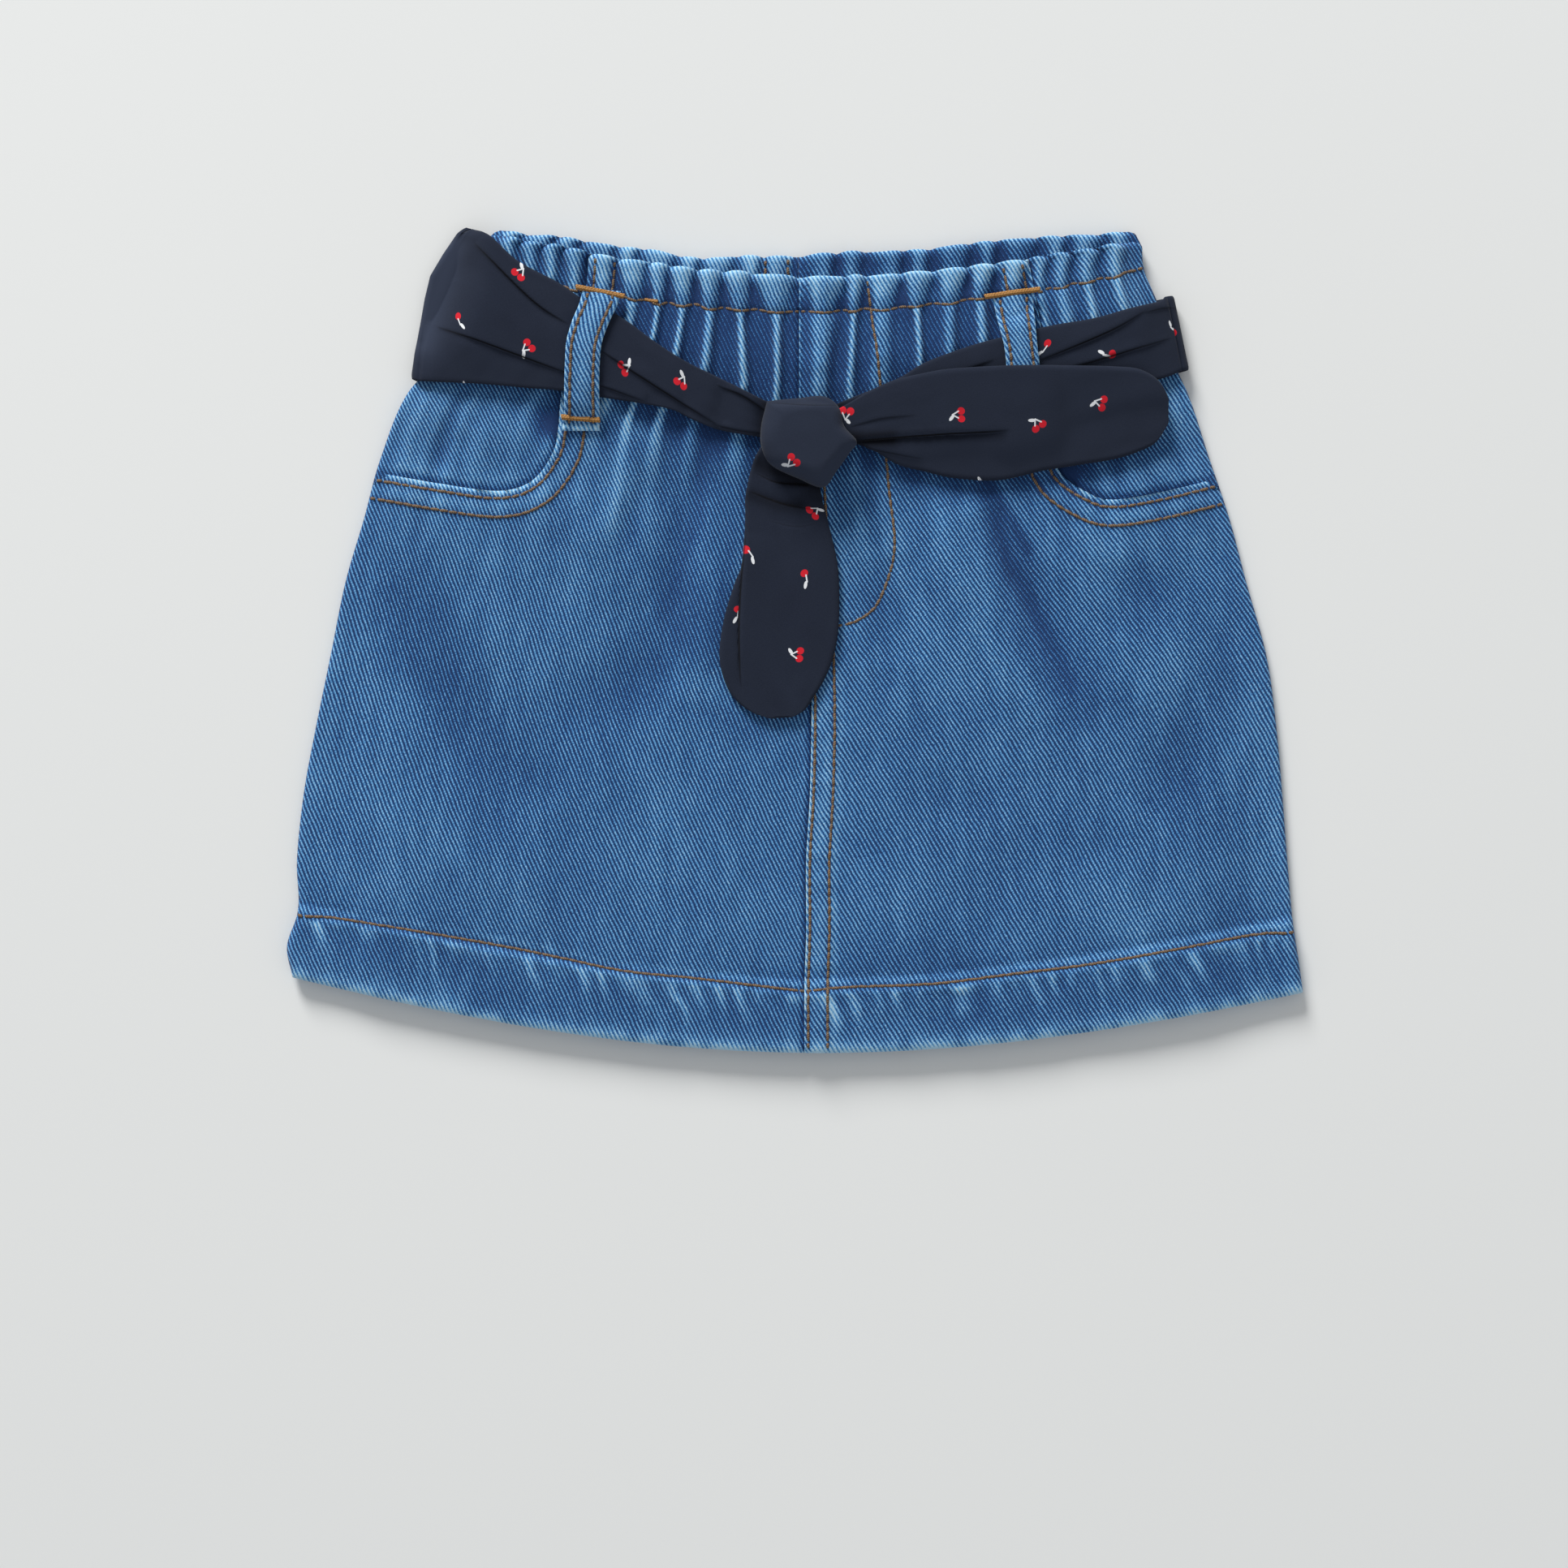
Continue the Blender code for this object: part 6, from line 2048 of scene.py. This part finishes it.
def add_floor(sizes):
    bpy.ops.object.select_all(action="DESELECT")
    bpy.ops.mesh.primitive_plane_add(size=3.0, location=(0, 0, -0.0002))
    floor = bpy.context.object
    floor.name = "board"
    bpy.ops.object.transform_apply(location=True, rotation=True, scale=True)
    floor.data.materials.append(floor_finish(sizes.board))


def add_camera():
    data = bpy.data.cameras.new("camera")
    data.lens = VIEW_LENS
    data.sensor_width = SENSOR
    camera = add_object("camera", data)
    distance = VIEW_WIDTH * VIEW_LENS / SENSOR + VIEW_LEVEL
    camera.location = (VIEW_X * MM, VIEW_Y * MM, distance * MM)
    data.clip_start = 0.05
    bpy.context.scene.camera = camera


def light_world(strength):
    """Even light from all round, shown with its own colours and no film curve."""
    bpy.context.scene.view_settings.view_transform = "Standard"
    world = bpy.data.worlds.new("studio")
    world.use_nodes = True
    background = world.node_tree.nodes["Background"]
    background.inputs["Color"].default_value = (0.96, 0.98, 1.0, 1)
    background.inputs["Strength"].default_value = strength
    bpy.context.scene.world = world


# Operators

class SKIRT_OT_denim(bpy.types.Operator):
    """Add the back panels, the front panels and the pocket yokes"""

    bl_idname = "skirt.denim"
    bl_label = "Denim panels"

    def execute(self, context):
        add_backs()
        add_fronts()
        add_yokes()
        return {"FINISHED"}


class SKIRT_OT_loops(bpy.types.Operator):
    """Add the two front belt loops"""

    bl_idname = "skirt.loops"
    bl_label = "Belt loops"

    def execute(self, context):
        add_loops()
        return {"FINISHED"}


class SKIRT_OT_sash(bpy.types.Operator):
    """Add the sash: behind the skirt, over its front, its tails and its knot"""

    bl_idname = "skirt.sash"
    bl_label = "Sash"

    def execute(self, context):
        add_sash()
        add_tails()
        add_knot()
        return {"FINISHED"}


class SKIRT_OT_stitches(bpy.types.Operator):
    """Add the rows and bars of stitches"""

    bl_idname = "skirt.stitches"
    bl_label = "Stitches"

    def execute(self, context):
        add_front_stitches()
        add_back_stitches()
        add_loop_stitches()
        add_bars()
        return {"FINISHED"}


class SKIRT_OT_stage(bpy.types.Operator):
    """Add the board that the skirt lies on, the lights and the camera"""

    bl_idname = "skirt.stage"
    bl_label = "Stage"

    def execute(self, context):
        sizes = context.scene.skirt_stage
        add_floor(sizes)
        light_world(sizes.ambient)
        add_area_light("key", sizes.key_watts, 1.6, (-1.3, 3.4, 1.75), (1.0, 0.99, 0.97))
        add_area_light("fill", sizes.fill_watts, 1.2, (0.6, -0.7, 1.2), (0.97, 0.99, 1.0))
        add_camera()
        return {"FINISHED"}


class SKIRT_PT_sidebar(bpy.types.Panel):
    """The skirt's operators and settings, in the 3D view's sidebar"""

    bl_label = "Denim skirt"
    bl_idname = "SKIRT_PT_sidebar"
    bl_space_type = "VIEW_3D"
    bl_region_type = "UI"
    bl_category = "Skirt"

    def draw(self, context):
        for operator in OPERATORS:
            self.layout.operator(operator.bl_idname)
        for name, settings in SETTINGS:
            box = self.layout.box()
            for key in settings.__annotations__:
                box.prop(getattr(context.scene, name), key)


OPERATORS = (SKIRT_OT_denim, SKIRT_OT_loops, SKIRT_OT_sash, SKIRT_OT_stitches, SKIRT_OT_stage)
SETTINGS = (
    ("skirt_denim", DenimSettings),
    ("skirt_sash", SashSettings),
    ("skirt_thread", ThreadSettings),
    ("skirt_stage", StageSettings),
)


def register():
    for name, settings in SETTINGS:
        bpy.utils.register_class(settings)
        setattr(bpy.types.Scene, name, PointerProperty(type=settings))
    for made in OPERATORS + (SKIRT_PT_sidebar,):
        bpy.utils.register_class(made)


def unregister():
    for made in reversed(OPERATORS + (SKIRT_PT_sidebar,)):
        bpy.utils.unregister_class(made)
    for name, settings in reversed(SETTINGS):
        delattr(bpy.types.Scene, name)
        bpy.utils.unregister_class(settings)


def main():
    register()
    bpy.ops.skirt.denim()
    bpy.ops.skirt.loops()
    bpy.ops.skirt.sash()
    bpy.ops.skirt.stitches()
    bpy.ops.skirt.stage()


if __name__ == "__main__":
    main()
